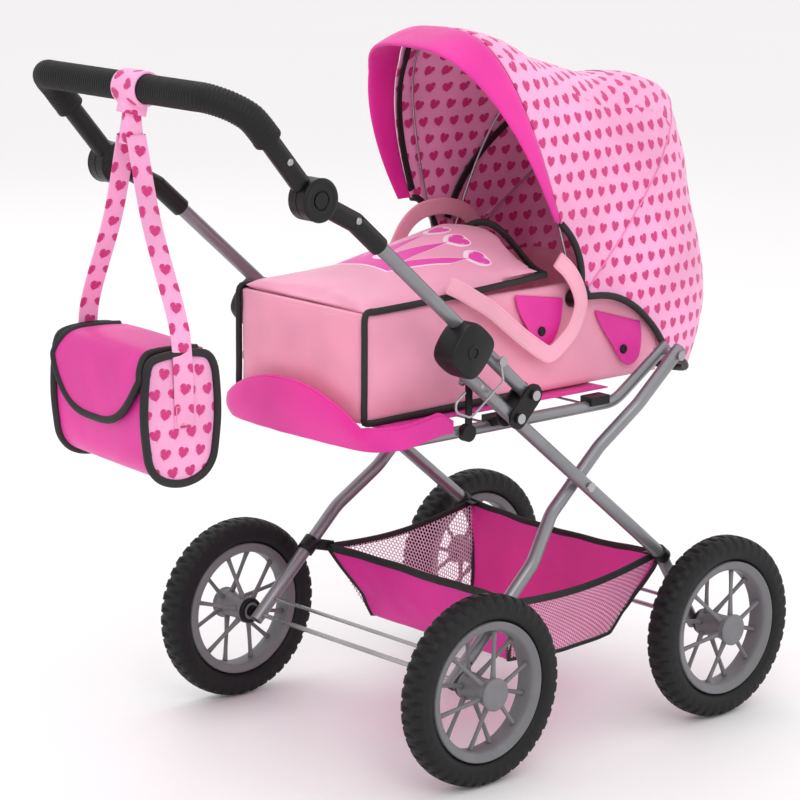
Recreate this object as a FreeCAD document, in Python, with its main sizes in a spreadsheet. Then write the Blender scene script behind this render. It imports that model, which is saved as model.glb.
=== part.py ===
"""Doll pram: folding cross frame, four spoked wheels, carrycot with hood, shopping basket and bag.

Every length is in millimetres. +X points the way the pram travels, +Y to its left and +Z up. The
origin lies on the ground under the middle of the pram. Places are written as a distance ahead of
the rear axle, a distance to the left of the middle plane and a height, and at() turns them into the
model's frame.
"""
import FreeCAD, Part
import math
import os
import re
import Sketcher

Vector = FreeCAD.Vector
Rotation = FreeCAD.Rotation
Placement = FreeCAD.Placement
ACROSS = Vector(0, 1, 0)
UP = Vector(0, 0, 1)
SIDES = {"left": 1, "right": -1}

DIMENSIONS = {
    "rear_axle_x": -63.25,
    "wheelbase": 335.0,
    "tyre_radius": 95.0,
    "tyre_width": 30.0,
    "tread_depth": 2.5,
    "lug_length": 8.0,
    "rim_radius": 69.5,
    "rim_opening": 59.5,
    "rim_width": 24.0,
    "hub_radius": 14.0,
    "hub_length": 40.0,
    "spoke_radius": 2.0,
    "cap_radius": 16.5,
    "cap_height": 2.6,
    "track_half": 188.0,
    "axle_radius": 2.5,
    "stay_radius": 2.0,
    "running_gap": 0.05,
    "tube_radius": 6.8,
    "tube_wall": 1.0,
    "frame_half": 150.0,
    "cross_half_middle": 132.0,
    "cross_half_top": 141.0,
    "pin_radius": 3.0,
    "fold_x": 175.4,
    "fold_z": 262.4,
    "tray_pin_x": 310.0,
    "tray_pin_z": 377.0,
    "handle_pin_x": 92.3,
    "handle_pin_z": 368.3,
    "handle_top_x": -125.0,
    "handle_top_z": 556.0,
    "catch_x": 46.0,
    "catch_z": 408.3,
    "knuckle_x": -181.0,
    "knuckle_z": 586.0,
    "knuckle_radius": 20.0,
    "knuckle_width": 22.0,
    "button_radius": 7.5,
    "button_travel": 3.0,
    "bar_x": -280.0,
    "bar_z": 682.0,
    "grip_radius": 13.5,
    "slider_x": 0.0,
    "slider_z": 428.0,
    "slider_length": 50.0,
    "slider_height": 58.0,
    "slider_width": 34.0,
    "rail_half": 121.0,
    "rail_radius": 6.0,
    "rail_z": 334.0,
    "cot_rear": -70.0,
    "cot_length": 406.0,
    "cot_half": 94.0,
    "cot_floor": 350.0,
    "cot_height": 107.0,
    "cot_wall": 6.0,
    "apron_length": 235.0,
    "apron_height": 12.0,
    "hood_x": 205.0,
    "hood_z": 442.0,
    "hood_half": 107.0,
    "hood_cloth": 2.5,
    "bow_radius": 1.25,
    "bag_x": -286.0,
    "bag_y": -22.0,
    "bag_turn": -9.5,
    "bag_width": 145.0,
    "bag_depth": 68.0,
    "bag_height": 118.0,
    "bag_floor": 331.0,
    "strap_width": 20.0,
    "strap_thick": 2.0,
}

doc = FreeCAD.newDocument("doll_pram")
sheet = doc.addObject("Spreadsheet::Sheet", "Dims")
for row, (alias, value) in enumerate(DIMENSIONS.items(), start=1):
    sheet.set(f"A{row}", alias)
    sheet.set(f"B{row}", str(value))
    sheet.setAlias(f"B{row}", alias)
doc.recompute()

nodes = {}


# ---------------------------------------------------------------------------------------- helpers
def dim(alias):
    """The value of one cell of the sheet."""
    return float(sheet.get(alias))


def at(ahead, left, height):
    """A point given ahead of the rear axle, left of the middle and above the ground."""
    return Vector(dim("rear_axle_x") + ahead, left, height)


def formula(words):
    """A formula written with the sheet's aliases, in the form the sheet's formulas use."""
    return re.sub(r"[a-z_]+", lambda m: "Dims." + m[0] if m[0] in DIMENSIONS else m[0], words)


def bind(owner, prop, words):
    """Tie a property to a formula in the sheet's aliases."""
    owner.setExpression(prop, formula(words))


def worth(words):
    """What a sum of products of aliases and numbers comes to, such as 'hub_length / 2 - 1'."""
    total = 0.0
    for sign, term in re.findall(r"([+-]?)\s*([a-z_\d.]+(?:\s*[*/]\s*[a-z_\d.]+)*)", words):
        value = 1.0
        for operator, word in re.findall(r"([*/]?)\s*([a-z_\d.]+)", term):
            number = dim(word) if word in DIMENSIONS else float(word)
            value = value / number if operator == "/" else value * number
        total += -value if sign == "-" else value
    return total


def node(label, thing):
    """Give a finished object the label that names its file."""
    thing.Label = label
    nodes[label] = thing
    return thing


def facing(direction):
    """The rotation that turns +Z into a direction."""
    return Rotation(UP, direction)


def rod(radius, length, centre, direction=ACROSS):
    """A bound cylinder whose middle is at centre."""
    thing = doc.addObject("Part::Cylinder", "Rod")
    bind(thing, "Radius", radius)
    bind(thing, "Height", length)
    unit = Vector(direction).normalize()
    thing.Placement = Placement(centre - unit * (worth(length) / 2), facing(unit))
    return thing


def bar(radius, start, end):
    """A round bar from one point to another."""
    return rod(radius, f"{(end - start).Length:.4f}", (start + end) / 2, end - start)


def block(length, width, height, centre, turn=None):
    """A bound box whose middle is at centre."""
    thing = doc.addObject("Part::Box", "Block")
    for prop, words in (("Length", length), ("Width", width), ("Height", height)):
        bind(thing, prop, words)
    turn = turn or Rotation()
    half = Vector(worth(length) / 2, worth(width) / 2, worth(height) / 2)
    thing.Placement = Placement(centre - turn.multVec(half), turn)
    return thing


def joined(things):
    """One solid from several that overlap."""
    fusion = doc.addObject("Part::MultiFuse", "Joined")
    fusion.Shapes = things
    return fusion


def cut(base, tool):
    """What is left of base without tool."""
    result = doc.addObject("Part::Cut", "Cut")
    result.Base, result.Tool = base, tool
    return result


def group(things):
    """Separate solids that share a node."""
    result = doc.addObject("Part::Compound", "Group")
    result.Links = things
    return result


def solid(shape):
    """A document object around a shape worked out here."""
    thing = doc.addObject("Part::Feature", "Shape")
    thing.Shape = shape
    return thing


def body_with_sketch(role, offset=0.0):
    """A body and a sketch on one of its origin planes."""
    body = doc.addObject("PartDesign::Body", "Body")
    return body, sketch_on(body, role, offset)


def sketch_on(body, role, offset=0.0):
    """A sketch on the body's origin plane of that role, moved along the plane's normal."""
    sketch = body.newObject("Sketcher::SketchObject", "Sketch")
    plane = next(f for f in body.Origin.OriginFeatures if f.Role == role)
    sketch.AttachmentSupport = [(plane, "")]
    sketch.MapMode = "FlatFace"
    sketch.AttachmentOffset = Placement(Vector(0, 0, offset), Rotation())
    return sketch


def outline(sketch, corners):
    """A closed outline whose corners are pairs of formulas, each tied to the sheet."""
    points = [Vector(worth(u), worth(v), 0) for u, v in corners]
    count = len(points)
    first = sketch.GeometryCount
    for i in range(count):
        sketch.addGeometry(Part.LineSegment(points[i], points[(i + 1) % count]))
    for i in range(count):
        other = first + (i + 1) % count
        sketch.addConstraint(Sketcher.Constraint("Coincident", first + i, 2, other, 1))
    for i, (u, v) in enumerate(corners):
        for kind, axis, words in (("DistanceX", -2, u), ("DistanceY", -1, v)):
            if abs(worth(words)) < 1e-9:
                sketch.addConstraint(Sketcher.Constraint("PointOnObject", first + i, 1, axis))
            else:
                index = sketch.addConstraint(
                    Sketcher.Constraint(kind, -1, 1, first + i, 1, worth(words)))
                bind(sketch, f"Constraints[{index}]", words)


def pad(body, sketch, length):
    """A pad of the sketch, the same distance to both sides of its plane."""
    feature = body.newObject("PartDesign::Pad", "Pad")
    feature.Profile = sketch
    feature.Midplane = True
    bind(feature, "Length", length)
    body.Tip = feature
    return feature


def pocket(body, sketch, length):
    """A pocket of the sketch, the same distance to both sides of its plane."""
    feature = body.newObject("PartDesign::Pocket", "Pocket")
    feature.Profile = sketch
    feature.Midplane = True
    bind(feature, "Length", length)
    body.Tip = feature
    return feature


def revolve(body, sketch, axis="V_Axis"):
    """A full turn of the sketch about one of its own axes."""
    feature = body.newObject("PartDesign::Revolution", "Revolution")
    feature.Profile = sketch
    feature.ReferenceAxis = (sketch, [axis])
    feature.Angle = 360.0
    body.Tip = feature
    return feature


def rounded_path(points, bends):
    """Straight runs joined by tangent arcs: bends holds the radius at each inner point."""
    edges, start = [], points[0]
    for i, radius in enumerate(bends, start=1):
        before = (points[i - 1] - points[i]).normalize()
        after = (points[i + 1] - points[i]).normalize()
        opening = before.getAngle(after)
        reach = radius / math.tan(opening / 2)
        first, last = points[i] + before * reach, points[i] + after * reach
        middle_line = (before + after).normalize()
        middle = points[i] + middle_line * (radius / math.sin(opening / 2) - radius)
        edges.append(Part.LineSegment(start, first).toShape())
        edges.append(Part.Arc(first, middle, last).toShape())
        start = last
    edges.append(Part.LineSegment(start, points[-1]).toShape())
    return Part.Wire(edges)


def swept(points, bends, radius):
    """A round bar of that radius along a rounded path."""
    path = rounded_path(points, bends)
    circle = Part.Circle(points[0], points[1] - points[0], radius)
    return path.makePipeShell([Part.Wire(circle.toShape())], True, True)


def tube(points, bends, radius, wall, holes=()):
    """A bent tube, with a round hole right through it across the pram at each point of holes."""
    shape = swept(points, bends, radius).cut(swept(points, bends, radius - wall))
    for centre, hole in holes:
        shape = shape.cut(Part.makeCylinder(hole, 60, centre - ACROSS * 30, ACROSS))
    return solid(shape)


def loft(sections):
    """A solid through closed polygons that have the same number of corners."""
    wires = [Part.makePolygon(list(s) + [s[0]]) for s in sections]
    return Part.makeLoft(wires, True, True)


# ----------------------------------------------------------------------------------------- wheels
def tyre(label, centre):
    """Rubber tyre turned about its axle, with a ring of flat-topped tread lugs."""
    body, profile = body_with_sketch("XY_Plane")
    outline(profile, [
        ("rim_radius + 0.2", "0 - tyre_width / 2 + 4"),
        ("rim_radius + 8", "0 - tyre_width / 2"),
        ("tyre_radius - 9", "0 - tyre_width / 2"),
        ("tyre_radius - tread_depth", "0 - tyre_width / 2 + 6"),
        ("tyre_radius - tread_depth", "tyre_width / 2 - 6"),
        ("tyre_radius - 9", "tyre_width / 2"),
        ("rim_radius + 8", "tyre_width / 2"),
        ("rim_radius + 0.2", "tyre_width / 2 - 4"),
    ])
    revolve(body, profile)
    lug_sketch = sketch_on(body, "XZ_Plane")
    outline(lug_sketch, [
        ("0 - lug_length / 2", "0 - tyre_radius"), ("lug_length / 2", "0 - tyre_radius"),
        ("lug_length / 2", "0 - tyre_radius + tread_depth + 2"),
        ("0 - lug_length / 2", "0 - tyre_radius + tread_depth + 2"),
    ])
    lug = pad(body, lug_sketch, "tyre_width - 6")
    doc.recompute()
    pattern = body.newObject("PartDesign::PolarPattern", "Tread")
    pattern.Originals = [lug]
    axis = next(f for f in body.Origin.OriginFeatures if f.Role == "Y_Axis")
    pattern.Axis = (axis, [""])
    pattern.Angle = 360
    pattern.Occurrences = 48
    body.Tip = pattern
    body.Placement = Placement(centre, Rotation())
    return node(label, body)


def rim(label, centre):
    """Moulded wheel: flanged ring, hub and two crossing sets of six spokes."""
    band = cut(rod("rim_radius", "rim_width", centre), rod("rim_opening", "rim_width + 2", centre))
    hub = rod("hub_radius", "hub_length", centre)
    parts = [band, hub]
    for side in (-1, 1):
        for k in range(6):
            angle = math.radians(60 * k + 15 * side)
            outward = Vector(math.sin(angle), 0, math.cos(angle))
            inner = centre + outward * (dim("hub_radius") - 3) + ACROSS * (side * 14)
            outer = centre + outward * (dim("rim_opening") + 2)
            parts.append(bar("spoke_radius", inner, outer))
    bore = rod("axle_radius + running_gap", "hub_length + 2", centre)
    return node(label, cut(joined(parts), bore))


def hub_fittings(label, centre, side):
    """Snap-on cap outside the hub and the bush that keeps the hub off the frame."""
    out = ACROSS * side
    cap = rod("cap_radius", "cap_height", centre + out * (dim("hub_length") / 2 + 1.5))
    bush = cut(rod("hub_radius - 3", "3", centre - out * (dim("hub_length") / 2 + 1.6)),
               rod("axle_radius + running_gap", "8", centre - out * (dim("hub_length") / 2 + 1.6)))
    return node(label, group([cap, bush]))


AXLES = {"rear": 0.0, "front": dim("wheelbase")}
for end, ahead in AXLES.items():
    for side_name, side in SIDES.items():
        middle = at(ahead, side * dim("track_half"), dim("tyre_radius"))
        tyre(f"tyre_{end}_{side_name}", middle)
        rim(f"rim_{end}_{side_name}", middle)
        hub_fittings(f"hub_fittings_{end}_{side_name}", middle, side)

# ------------------------------------------------------------------------------------ cross frame
tube_radius, tube_wall = dim("tube_radius"), dim("tube_wall")
pin_hole = dim("pin_radius") + 0.02
axle_hole = dim("axle_radius") + 0.02
stay_hole = dim("stay_radius") + 0.02
fold_x, fold_z = dim("fold_x"), dim("fold_z")
axle_z = dim("tyre_radius")


def toward(start, end, distance):
    """The point at that distance from start on the way to end."""
    return start + (end - start).normalize() * distance


def main_tube(side_name, side):
    """Front leg: from inside the slider, down past the fold pin to the front axle."""
    y = side * dim("frame_half")
    top = at(-6.5, y, 412.5)
    bend = at(285.5, y, 173.2)
    axle = at(dim("wheelbase"), y, axle_z)
    foot = toward(axle, bend, -8)
    holes = [(at(fold_x, y, fold_z), pin_hole), (axle, axle_hole),
             (toward(axle, bend, 24), stay_hole),
             (at(72.6, y, 348.0), pin_hole), (at(27, y, 385.2), stay_hole)]
    node(f"main_tube_{side_name}",
         tube([top, bend, foot], [60], tube_radius, tube_wall, holes))


def cross_tube(side_name, side):
    """Rear leg: cranked inwards where it passes the front leg, up to the tray's front pin."""
    low, mid, high = (side * dim(k) for k in ("frame_half", "cross_half_middle", "cross_half_top"))
    axle = at(0, low, axle_z)
    knee = at(104, low, axle_z + 104 * 0.959)
    points = [toward(axle, knee, -8), knee, at(146, mid, 235.0), at(212, mid, 294.1),
              at(258, high, 333.0), at(dim("tray_pin_x") + 7, high, dim("tray_pin_z") + 6)]
    holes = [(axle, axle_hole), (toward(axle, knee, 22), stay_hole),
             (at(fold_x, mid, fold_z), pin_hole),
             (at(dim("tray_pin_x"), high, dim("tray_pin_z")), pin_hole)]
    node(f"cross_tube_{side_name}", tube(points, [45, 45, 60, 60], tube_radius, tube_wall, holes))


for side_name, side in SIDES.items():
    main_tube(side_name, side)
    cross_tube(side_name, side)

axle_length = "2 * track_half + hub_length - 2"
rear_axle = at(0, 0, axle_z)
front_axle = at(dim("wheelbase"), 0, axle_z)
rear_stay = toward(rear_axle, at(104, 0, axle_z + 104 * 0.959), 22)
front_stay = toward(front_axle, at(285.5, 0, 173.2), 24)
node("rear_axle", rod("axle_radius", axle_length, rear_axle))
node("front_axle", rod("axle_radius", axle_length, front_axle))
node("rear_stay", rod("stay_radius", "2 * frame_half + 10", rear_stay))
node("front_stay", rod("stay_radius", "2 * frame_half + 10", front_stay))


def headed_pin(centre, side, length, radius="pin_radius", head="pin_radius + 2"):
    """A pin along Y with a domed head outside: centre is the middle of its shank."""
    out = ACROSS * side
    shank = rod(radius, length, centre)
    cap = rod(head, "2", centre + out * (worth(length) / 2 + 1))
    return joined([shank, cap])


rivets = []
for side in SIDES.values():
    rivets.append(headed_pin(at(fold_x, side * 141.5, fold_z), side, "32"))
    rivets.append(headed_pin(at(dim("handle_pin_x"), side * 150, dim("handle_pin_z")), side, "25"))
    rivets.append(headed_pin(at(72.6, side * 150, 348.0), side, "25"))
node("frame_rivets", group(rivets))

for end, ahead in AXLES.items():
    spacers = []
    for side in SIDES.values():
        centre = at(ahead, side * 161, axle_z)
        spacers.append(cut(rod("tube_radius - 0.5", "7", centre),
                           rod("axle_radius + running_gap", "12", centre)))
    node(f"{end}_axle_spacers", group(spacers))

# --------------------------------------------------------------------------------- handle bracket
# The handle tube runs beside the front leg's top end, one perpendicular offset above it.
HANDLE_DOWN = (at(dim("handle_pin_x"), 0, dim("handle_pin_z"))
               - at(dim("handle_top_x"), 0, dim("handle_top_z"))).normalize()
HANDLE_OUT = HANDLE_DOWN.cross(ACROSS)
pitch = math.degrees(math.atan2(HANDLE_DOWN.z, HANDLE_DOWN.x))
along_tube = Rotation(ACROSS, -pitch)


def bracket(side_name, side):
    """Two cheeks, riveted to the front leg, that hold the handle tube's lower end between them."""
    y = side * dim("frame_half")
    upper, lower = at(dim("handle_pin_x"), y, dim("handle_pin_z")), at(72.6, y, 348.0)
    cheeks = []
    for offset in (-8.9, 8.9):
        shift = ACROSS * offset
        plate = joined([rod("11", "2.8", upper + shift), rod("11", "2.8", lower + shift),
                        block("29.6", "2.8", "22", (upper + lower) / 2 + shift,
                              Rotation(Vector(1, 0, 0), upper - lower))])
        holes = joined([rod("pin_radius + 0.02", "6", upper + shift),
                        rod("pin_radius + 0.02", "6", lower + shift)])
        cheeks.append(cut(plate, holes))
    node(f"handle_bracket_{side_name}", group(cheeks))


for side_name, side in SIDES.items():
    bracket(side_name, side)

# ----------------------------------------------------------------------------------------- handle
knuckle_x, knuckle_z = dim("knuckle_x"), dim("knuckle_z")
for side_name, side in SIDES.items():
    y = side * dim("frame_half")
    pin = at(dim("handle_pin_x"), y, dim("handle_pin_z"))
    top = at(dim("handle_top_x"), y, dim("handle_top_z"))
    catch = at(dim("catch_x"), y, dim("catch_z"))
    node(f"handle_tube_{side_name}",
         tube([pin + HANDLE_DOWN * 9, top], [], tube_radius, tube_wall,
              [(pin, dim("pin_radius") + dim("running_gap")),
               (catch, dim("stay_radius") + dim("running_gap"))]))


GRIP_RISE = Vector(-0.65, 0, 0.76)
lower_arms, upper_arms = [], []
for side in SIDES.values():
    y = side * dim("frame_half")
    middle = at(knuckle_x, y, knuckle_z)
    button = rod("button_radius + 0.3", "12", middle + ACROSS * side * 10)
    # The lower arm's disc is the outboard half of the knuckle, and the upper arm's the inboard.
    outer_disc = rod("knuckle_radius", "knuckle_width / 2 - 0.5", middle + ACROSS * side * 8.75)
    inner_disc = rod("knuckle_radius", "knuckle_width / 2 - 0.5", middle - ACROSS * side * 2.75)
    tube_end = at(dim("handle_top_x"), y, dim("handle_top_z"))
    elbow = tube_end - HANDLE_DOWN * 5
    sleeve = joined([bar("9.5", tube_end + HANDLE_DOWN * 34, elbow), bar("9.5", elbow, middle)])
    clearance = rod("knuckle_radius + 0.6", "20", middle - ACROSS * side * 6.9)
    bore = bar("tube_radius + running_gap", tube_end + HANDLE_DOWN * 40,
               tube_end - HANDLE_DOWN * 0.5)
    lower = cut(cut(joined([cut(sleeve, clearance), outer_disc]), bore), button)
    lower_arms.append(lower)
    upper_sleeve = bar("9.5", middle, middle + GRIP_RISE * 75.7)
    keep_out = rod("knuckle_radius + 0.6", "20", middle + ACROSS * side * 13.1)
    socket = bar("7.1", middle + GRIP_RISE * 51.5, middle + GRIP_RISE * 80)
    upper_arms.append(cut(joined([cut(upper_sleeve, keep_out), inner_disc]), socket))
node("lower_knuckles", group(lower_arms))
node("upper_knuckles", group(upper_arms))

for side_name, side in SIDES.items():
    middle = at(knuckle_x, side * dim("frame_half"), knuckle_z)
    node(f"push_button_{side_name}",
         rod("button_radius", "8", middle + ACROSS * side * 11.3))

bar_x, bar_z = dim("bar_x"), dim("bar_z")


def grip_line(start):
    """The handlebar's line from one arm to the other, starting that far above the knuckle."""
    arms = [at(knuckle_x, side * dim("frame_half"), knuckle_z) + GRIP_RISE * start
            for side in (1, -1)]
    bends = [at(knuckle_x, side * dim("frame_half"), knuckle_z) + GRIP_RISE * 100
             for side in (1, -1)]
    return [arms[0], bends[0], at(bar_x, 112, bar_z), at(bar_x, -112, bar_z), bends[1], arms[1]]


core = solid(swept(grip_line(52), [22, 34, 34, 22], 7.0))
node("handlebar_core", core)
foam = swept(grip_line(76.5), [22, 34, 34, 22], dim("grip_radius")).cut(
    swept(grip_line(52), [22, 34, 34, 22], 7.02))
node("handle_grip", solid(foam))


def slider(side_name, side):
    """Lock sleeve round the handle tube; its open underside drops over the front leg's top."""
    y = side * dim("frame_half")
    middle = at(dim("slider_x"), y + side * 5, dim("slider_z"))
    on_tube = at(dim("handle_pin_x"), y, dim("handle_pin_z")) - HANDLE_DOWN * 122
    body, sketch = body_with_sketch("XZ_Plane")
    half_l, half_h = "slider_length / 2", "slider_height / 2"
    outline(sketch, [
        (f"0 - {half_l}", f"0 - {half_h} + 12"), (f"0 - {half_l} + 10", f"0 - {half_h}"),
        (f"{half_l} - 10", f"0 - {half_h}"), (half_l, f"0 - {half_h} + 12"),
        (half_l, f"{half_h} - 10"), (f"{half_l} - 8", half_h),
        (f"0 - {half_l} + 8", half_h), (f"0 - {half_l}", f"{half_h} - 10"),
    ])
    pad(body, sketch, "slider_width")
    body.Placement = Placement(middle, along_tube)
    tube_bore = rod("tube_radius + running_gap", "90", on_tube, HANDLE_DOWN)
    leg_slot = block("90", "2 * tube_radius + 0.8", "44",
                     at(-2, y, 411) - HANDLE_OUT * 15, along_tube)
    node(f"slider_{side_name}", cut(cut(body, tube_bore), leg_slot))


def bail(side_name, side):
    """Wire catch that hangs from a bolt on the handle tube, outside the front leg."""
    y = side * 161.6
    points = [at(dim("catch_x"), y, dim("catch_z")), at(50, y, 388), at(8, y, 358), at(-20, y, 369), at(0, y, 384)]
    wire = swept(points, [4, 8, 8], dim("bow_radius"))
    bolt = Part.makeCylinder(dim("stay_radius"), 26, at(dim("catch_x"), side * 139, dim("catch_z")), ACROSS * side)
    nut = Part.makeCylinder(5, 2.4, at(dim("catch_x"), side * 163.4, dim("catch_z")), ACROSS * side)
    node(f"lock_bail_{side_name}", solid(wire.fuse(bolt).fuse(nut)))


for side_name, side in SIDES.items():
    slider(side_name, side)
    bail(side_name, side)

# ------------------------------------------------------------------------------------------- tray
rail_half, rail_z = dim("rail_half"), dim("rail_z")
tray_pin = {s: at(dim("tray_pin_x"), s * rail_half, dim("tray_pin_z")) for s in (1, -1)}
rail_points = [tray_pin[1] + Vector(7, 0, 5.5), at(243, rail_half, rail_z),
               at(-58, rail_half, rail_z), at(-58, -rail_half, rail_z),
               at(243, -rail_half, rail_z), tray_pin[-1] + Vector(7, 0, 5.5)]
rail = swept(rail_points, [40, 30, 30, 40], dim("rail_radius"))
for side in SIDES.values():
    rail = rail.cut(Part.makeCylinder(pin_hole, 20, tray_pin[side] - ACROSS * 10, ACROSS))
node("tray_pins", group([headed_pin(at(dim("tray_pin_x"), side * 131, dim("tray_pin_z")), side,
                                    "36") for side in SIDES.values()]))
cross_wires = [rod("bow_radius", "2 * rail_half - 17", at(x, 0, rail_z - 1))
               for x in (80, 216)]
node("tray_rail", group([solid(rail)] + cross_wires))
saddles = []
for side in SIDES.values():
    for x in (80, 216):
        shell = block("26", "16", "9", at(x, side * rail_half, rail_z + 6))
        saddles.append(cut(shell, rod("rail_radius + 0.05", "40", at(x, side * rail_half, rail_z),
                                      Vector(1, 0, 0))))
node("tray_saddles", group(saddles))
hangers = []
for side in SIDES.values():
    plate = block("7", "3", "54", at(33.2, side * 131, 361))
    eye = cut(rod("8.5", "8", at(33.2, side * 129, rail_z)),
              rod("rail_radius + 0.05", "20", at(33.2, side * rail_half, rail_z),
                  Vector(1, 0, 0)))
    hangers.append(joined([plate, eye]))
node("tray_hangers", group(hangers))
node("tray_rest_pins", group([headed_pin(at(27, side * 143, 385.2), -side, "28", "stay_radius",
                                         "stay_radius + 2") for side in SIDES.values()]))
node("tray_sheet", block("300", "2 * rail_half - 2 * rail_radius - 4", "3", at(94, 0, 347.6)))


def foot_flap():
    """Padded tongue over the tray's rear end: it rises in a shallow curve behind the carrycot."""
    rows = []
    for k in range(13):
        share = k / 6 - 1
        y = share * 100
        top = 340 + 42 * (1 - abs(share) ** 2.4)
        rows.append([at(-82, y, 330 - 4 * (1 - share ** 2)), at(-79, y, 330), at(-74.5, y, top),
                     at(-77.5, y, top)])
    return loft(rows)


node("foot_flap", solid(foot_flap()))

# --------------------------------------------------------------------------------------- carrycot
cot_centre = at(dim("cot_rear") + dim("cot_length") / 2, 0, dim("cot_floor"))


def carrycot():
    """Soft-sided tub with a stiff floor, open on top."""
    body, sketch = body_with_sketch("XY_Plane", worth("cot_height / 2"))
    half_l, half_w = "cot_length / 2", "cot_half"
    outline(sketch, [(f"0 - {half_l}", f"0 - {half_w}"), (half_l, f"0 - {half_w}"),
                     (half_l, half_w), (f"0 - {half_l}", half_w)])
    pad(body, sketch, "cot_height")
    inner = sketch_on(body, "XY_Plane", worth("cot_height / 2") + dim("cot_wall"))
    outline(inner, [(f"0 - {half_l} + cot_wall", f"0 - {half_w} + cot_wall"),
                    (f"{half_l} - cot_wall", f"0 - {half_w} + cot_wall"),
                    (f"{half_l} - cot_wall", f"{half_w} - cot_wall"),
                    (f"0 - {half_l} + cot_wall", f"{half_w} - cot_wall")])
    pocket(body, inner, "cot_height")
    body.Placement = Placement(cot_centre, Rotation())
    return node("cot_body", body)


carrycot()
cot_top = dim("cot_floor") + dim("cot_height")
node("cot_apron", block("apron_length", "2 * cot_half", "apron_height",
                        at(dim("cot_rear") + worth("apron_length / 2"), 0,
                           cot_top + 0.1 + worth("apron_height / 2"))))


def carry_loop(points, half_width):
    """Flat webbing in an upright plane: the points are the middle of its width."""
    path = rounded_path(points, [12] * (len(points) - 2))
    run = points[1] - points[0]
    side_step = run.cross(ACROSS).normalize() * half_width
    thick = ACROSS * 1.2
    start = points[0]
    corners = [start + side_step + thick, start - side_step + thick,
               start - side_step - thick, start + side_step - thick]
    section = Part.makePolygon(corners + [corners[0]])
    return path.makePipeShell([section], True, True)


hang = [(52, 463.6), (80.6, 446.4), (120, 416.5), (160.5, 390), (195, 414), (204, 438), (184, 474)]
node("carry_handle_right", solid(carry_loop([at(x, -110.3, z) for x, z in hang], 8.0)))
arch = [(128, 478), (147, 498), (187, 514), (232, 505), (252, 480)]
node("carry_handle_left", solid(carry_loop([at(x, 89.5, z) for x, z in arch], 8.0)))
node("snap_flaps", group([block("34", "5.4", "40", at(x, side * 97, z))
                          for x, z in ((272, 398), (165, 413)) for side in SIDES.values()]))

# ------------------------------------------------------------------------------------------- hood
hood = at(dim("hood_x"), 0, dim("hood_z"))
# Radius of the hood about its pivot, over the angle above the forward direction.
HOOD_RADII = [(-27, 245), (-7, 255), (14, 247), (32, 272), (42, 284), (52, 266), (68, 231),
              (88, 238), (100, 264), (109, 284), (116, 287)]
HOOD_SHAPE = [(-27, 3.2), (10, 2.6), (40, 1.9), (80, 2.7), (109, 3.2), (116, 3.2)]


def between(table, angle):
    """Straight-line value of a table at an angle."""
    for (a, u), (b, v) in zip(table, table[1:]):
        if a <= angle <= b:
            return u + (v - u) * (angle - a) / (b - a)
    return table[-1][1]


def arch_points(angle, inset, foot, count=13):
    """One arch of the hood: a superellipse in the plane that stands at an angle on the pivot."""
    ray = Vector(math.cos(math.radians(angle)), 0, math.sin(math.radians(angle)))
    reach = between(HOOD_RADII, angle) - inset
    half = dim("hood_half") - inset
    power = 2 / between(HOOD_SHAPE, angle)
    points = []
    for k in range(count):
        turn = math.pi * k / (count - 1)
        c, s = math.cos(turn), math.sin(turn)
        out = reach * abs(s) ** power
        y = half * math.copysign(abs(c) ** power, c)
        points.append(hood + ray * max(out, foot) + ACROSS * y)
    return points


def foot_radius(angle):
    """How far from the pivot the hood's side begins."""
    return 12 + max(0, angle - 78) * 2.35


def hood_shell(angles):
    """Cloth between arches: each section is an outer arch closed by the arch inside it."""
    sections = []
    for angle in angles:
        foot = foot_radius(angle)
        outer = arch_points(angle, 0.0, foot)
        inner = arch_points(angle, dim("hood_cloth"), foot)
        sections.append(outer + inner[::-1])
    return loft(sections)


node("hood_canopy", solid(hood_shell([-27, -7, 14, 28, 42, 55, 68, 88, 100, 108.6])))
node("hood_visor", solid(hood_shell([109.2, 112.5, 116])))


def bow(label, angle, inset):
    """Wire hoop inside the hood, pivoted at both ends."""
    curve = Part.BSplineCurve()
    points = arch_points(angle, inset, 16, 25)
    curve.interpolate(points)
    circle = Part.Circle(points[0], curve.tangent(curve.FirstParameter)[0], dim("bow_radius"))
    pipe = Part.Wire(curve.toShape()).makePipeShell([Part.Wire(circle.toShape())], True, True)
    node(label, solid(pipe))


bow("hood_bow_front", 106, 8)
bow("hood_bow_middle", 72, 11)
bow("hood_bow_rear", 41, 8)
node("hood_pivots", group([rod("9.5", "11", hood + ACROSS * side * 102)
                           for side in SIDES.values()]))

# ----------------------------------------------------------------------------------------- basket


def rectangle(rear, front, half, rear_z, front_z):
    """A rectangle across the pram whose rear and front edges may stand at different heights."""
    return [at(rear, half, rear_z), at(front, half, front_z), at(front, -half, front_z),
            at(rear, -half, rear_z)]


def basket():
    """Sewn shopping basket: a tapered tub, open on top, with a tab at each corner."""
    outer = loft([rectangle(112, 264, 106, 80, 80), rectangle(104, 289, 132, 155, 170)])
    inner = loft([rectangle(114.5, 261.5, 103.5, 82.5, 82.5),
                  rectangle(106.5, 286.5, 129.5, 157.7, 172.7)])
    tub = outer.cut(inner)
    for side in SIDES.values():
        for x, z in ((96, 150), (290.4, 163.8)):
            tab = Part.makeBox(18, 10.5, 2, at(x - 9, -5.25, z))
            tab.translate(ACROSS * side * 136)
            tub = tub.fuse(tab)
    return tub


node("shopping_basket", solid(basket()))

# -------------------------------------------------------------------------------------------- bag
bag_turn = Rotation(UP, dim("bag_turn"))
bag_middle = at(dim("bag_x"), dim("bag_y"), dim("bag_floor"))
bar_middle = at(bar_x, dim("bag_y"), bar_z)


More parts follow.
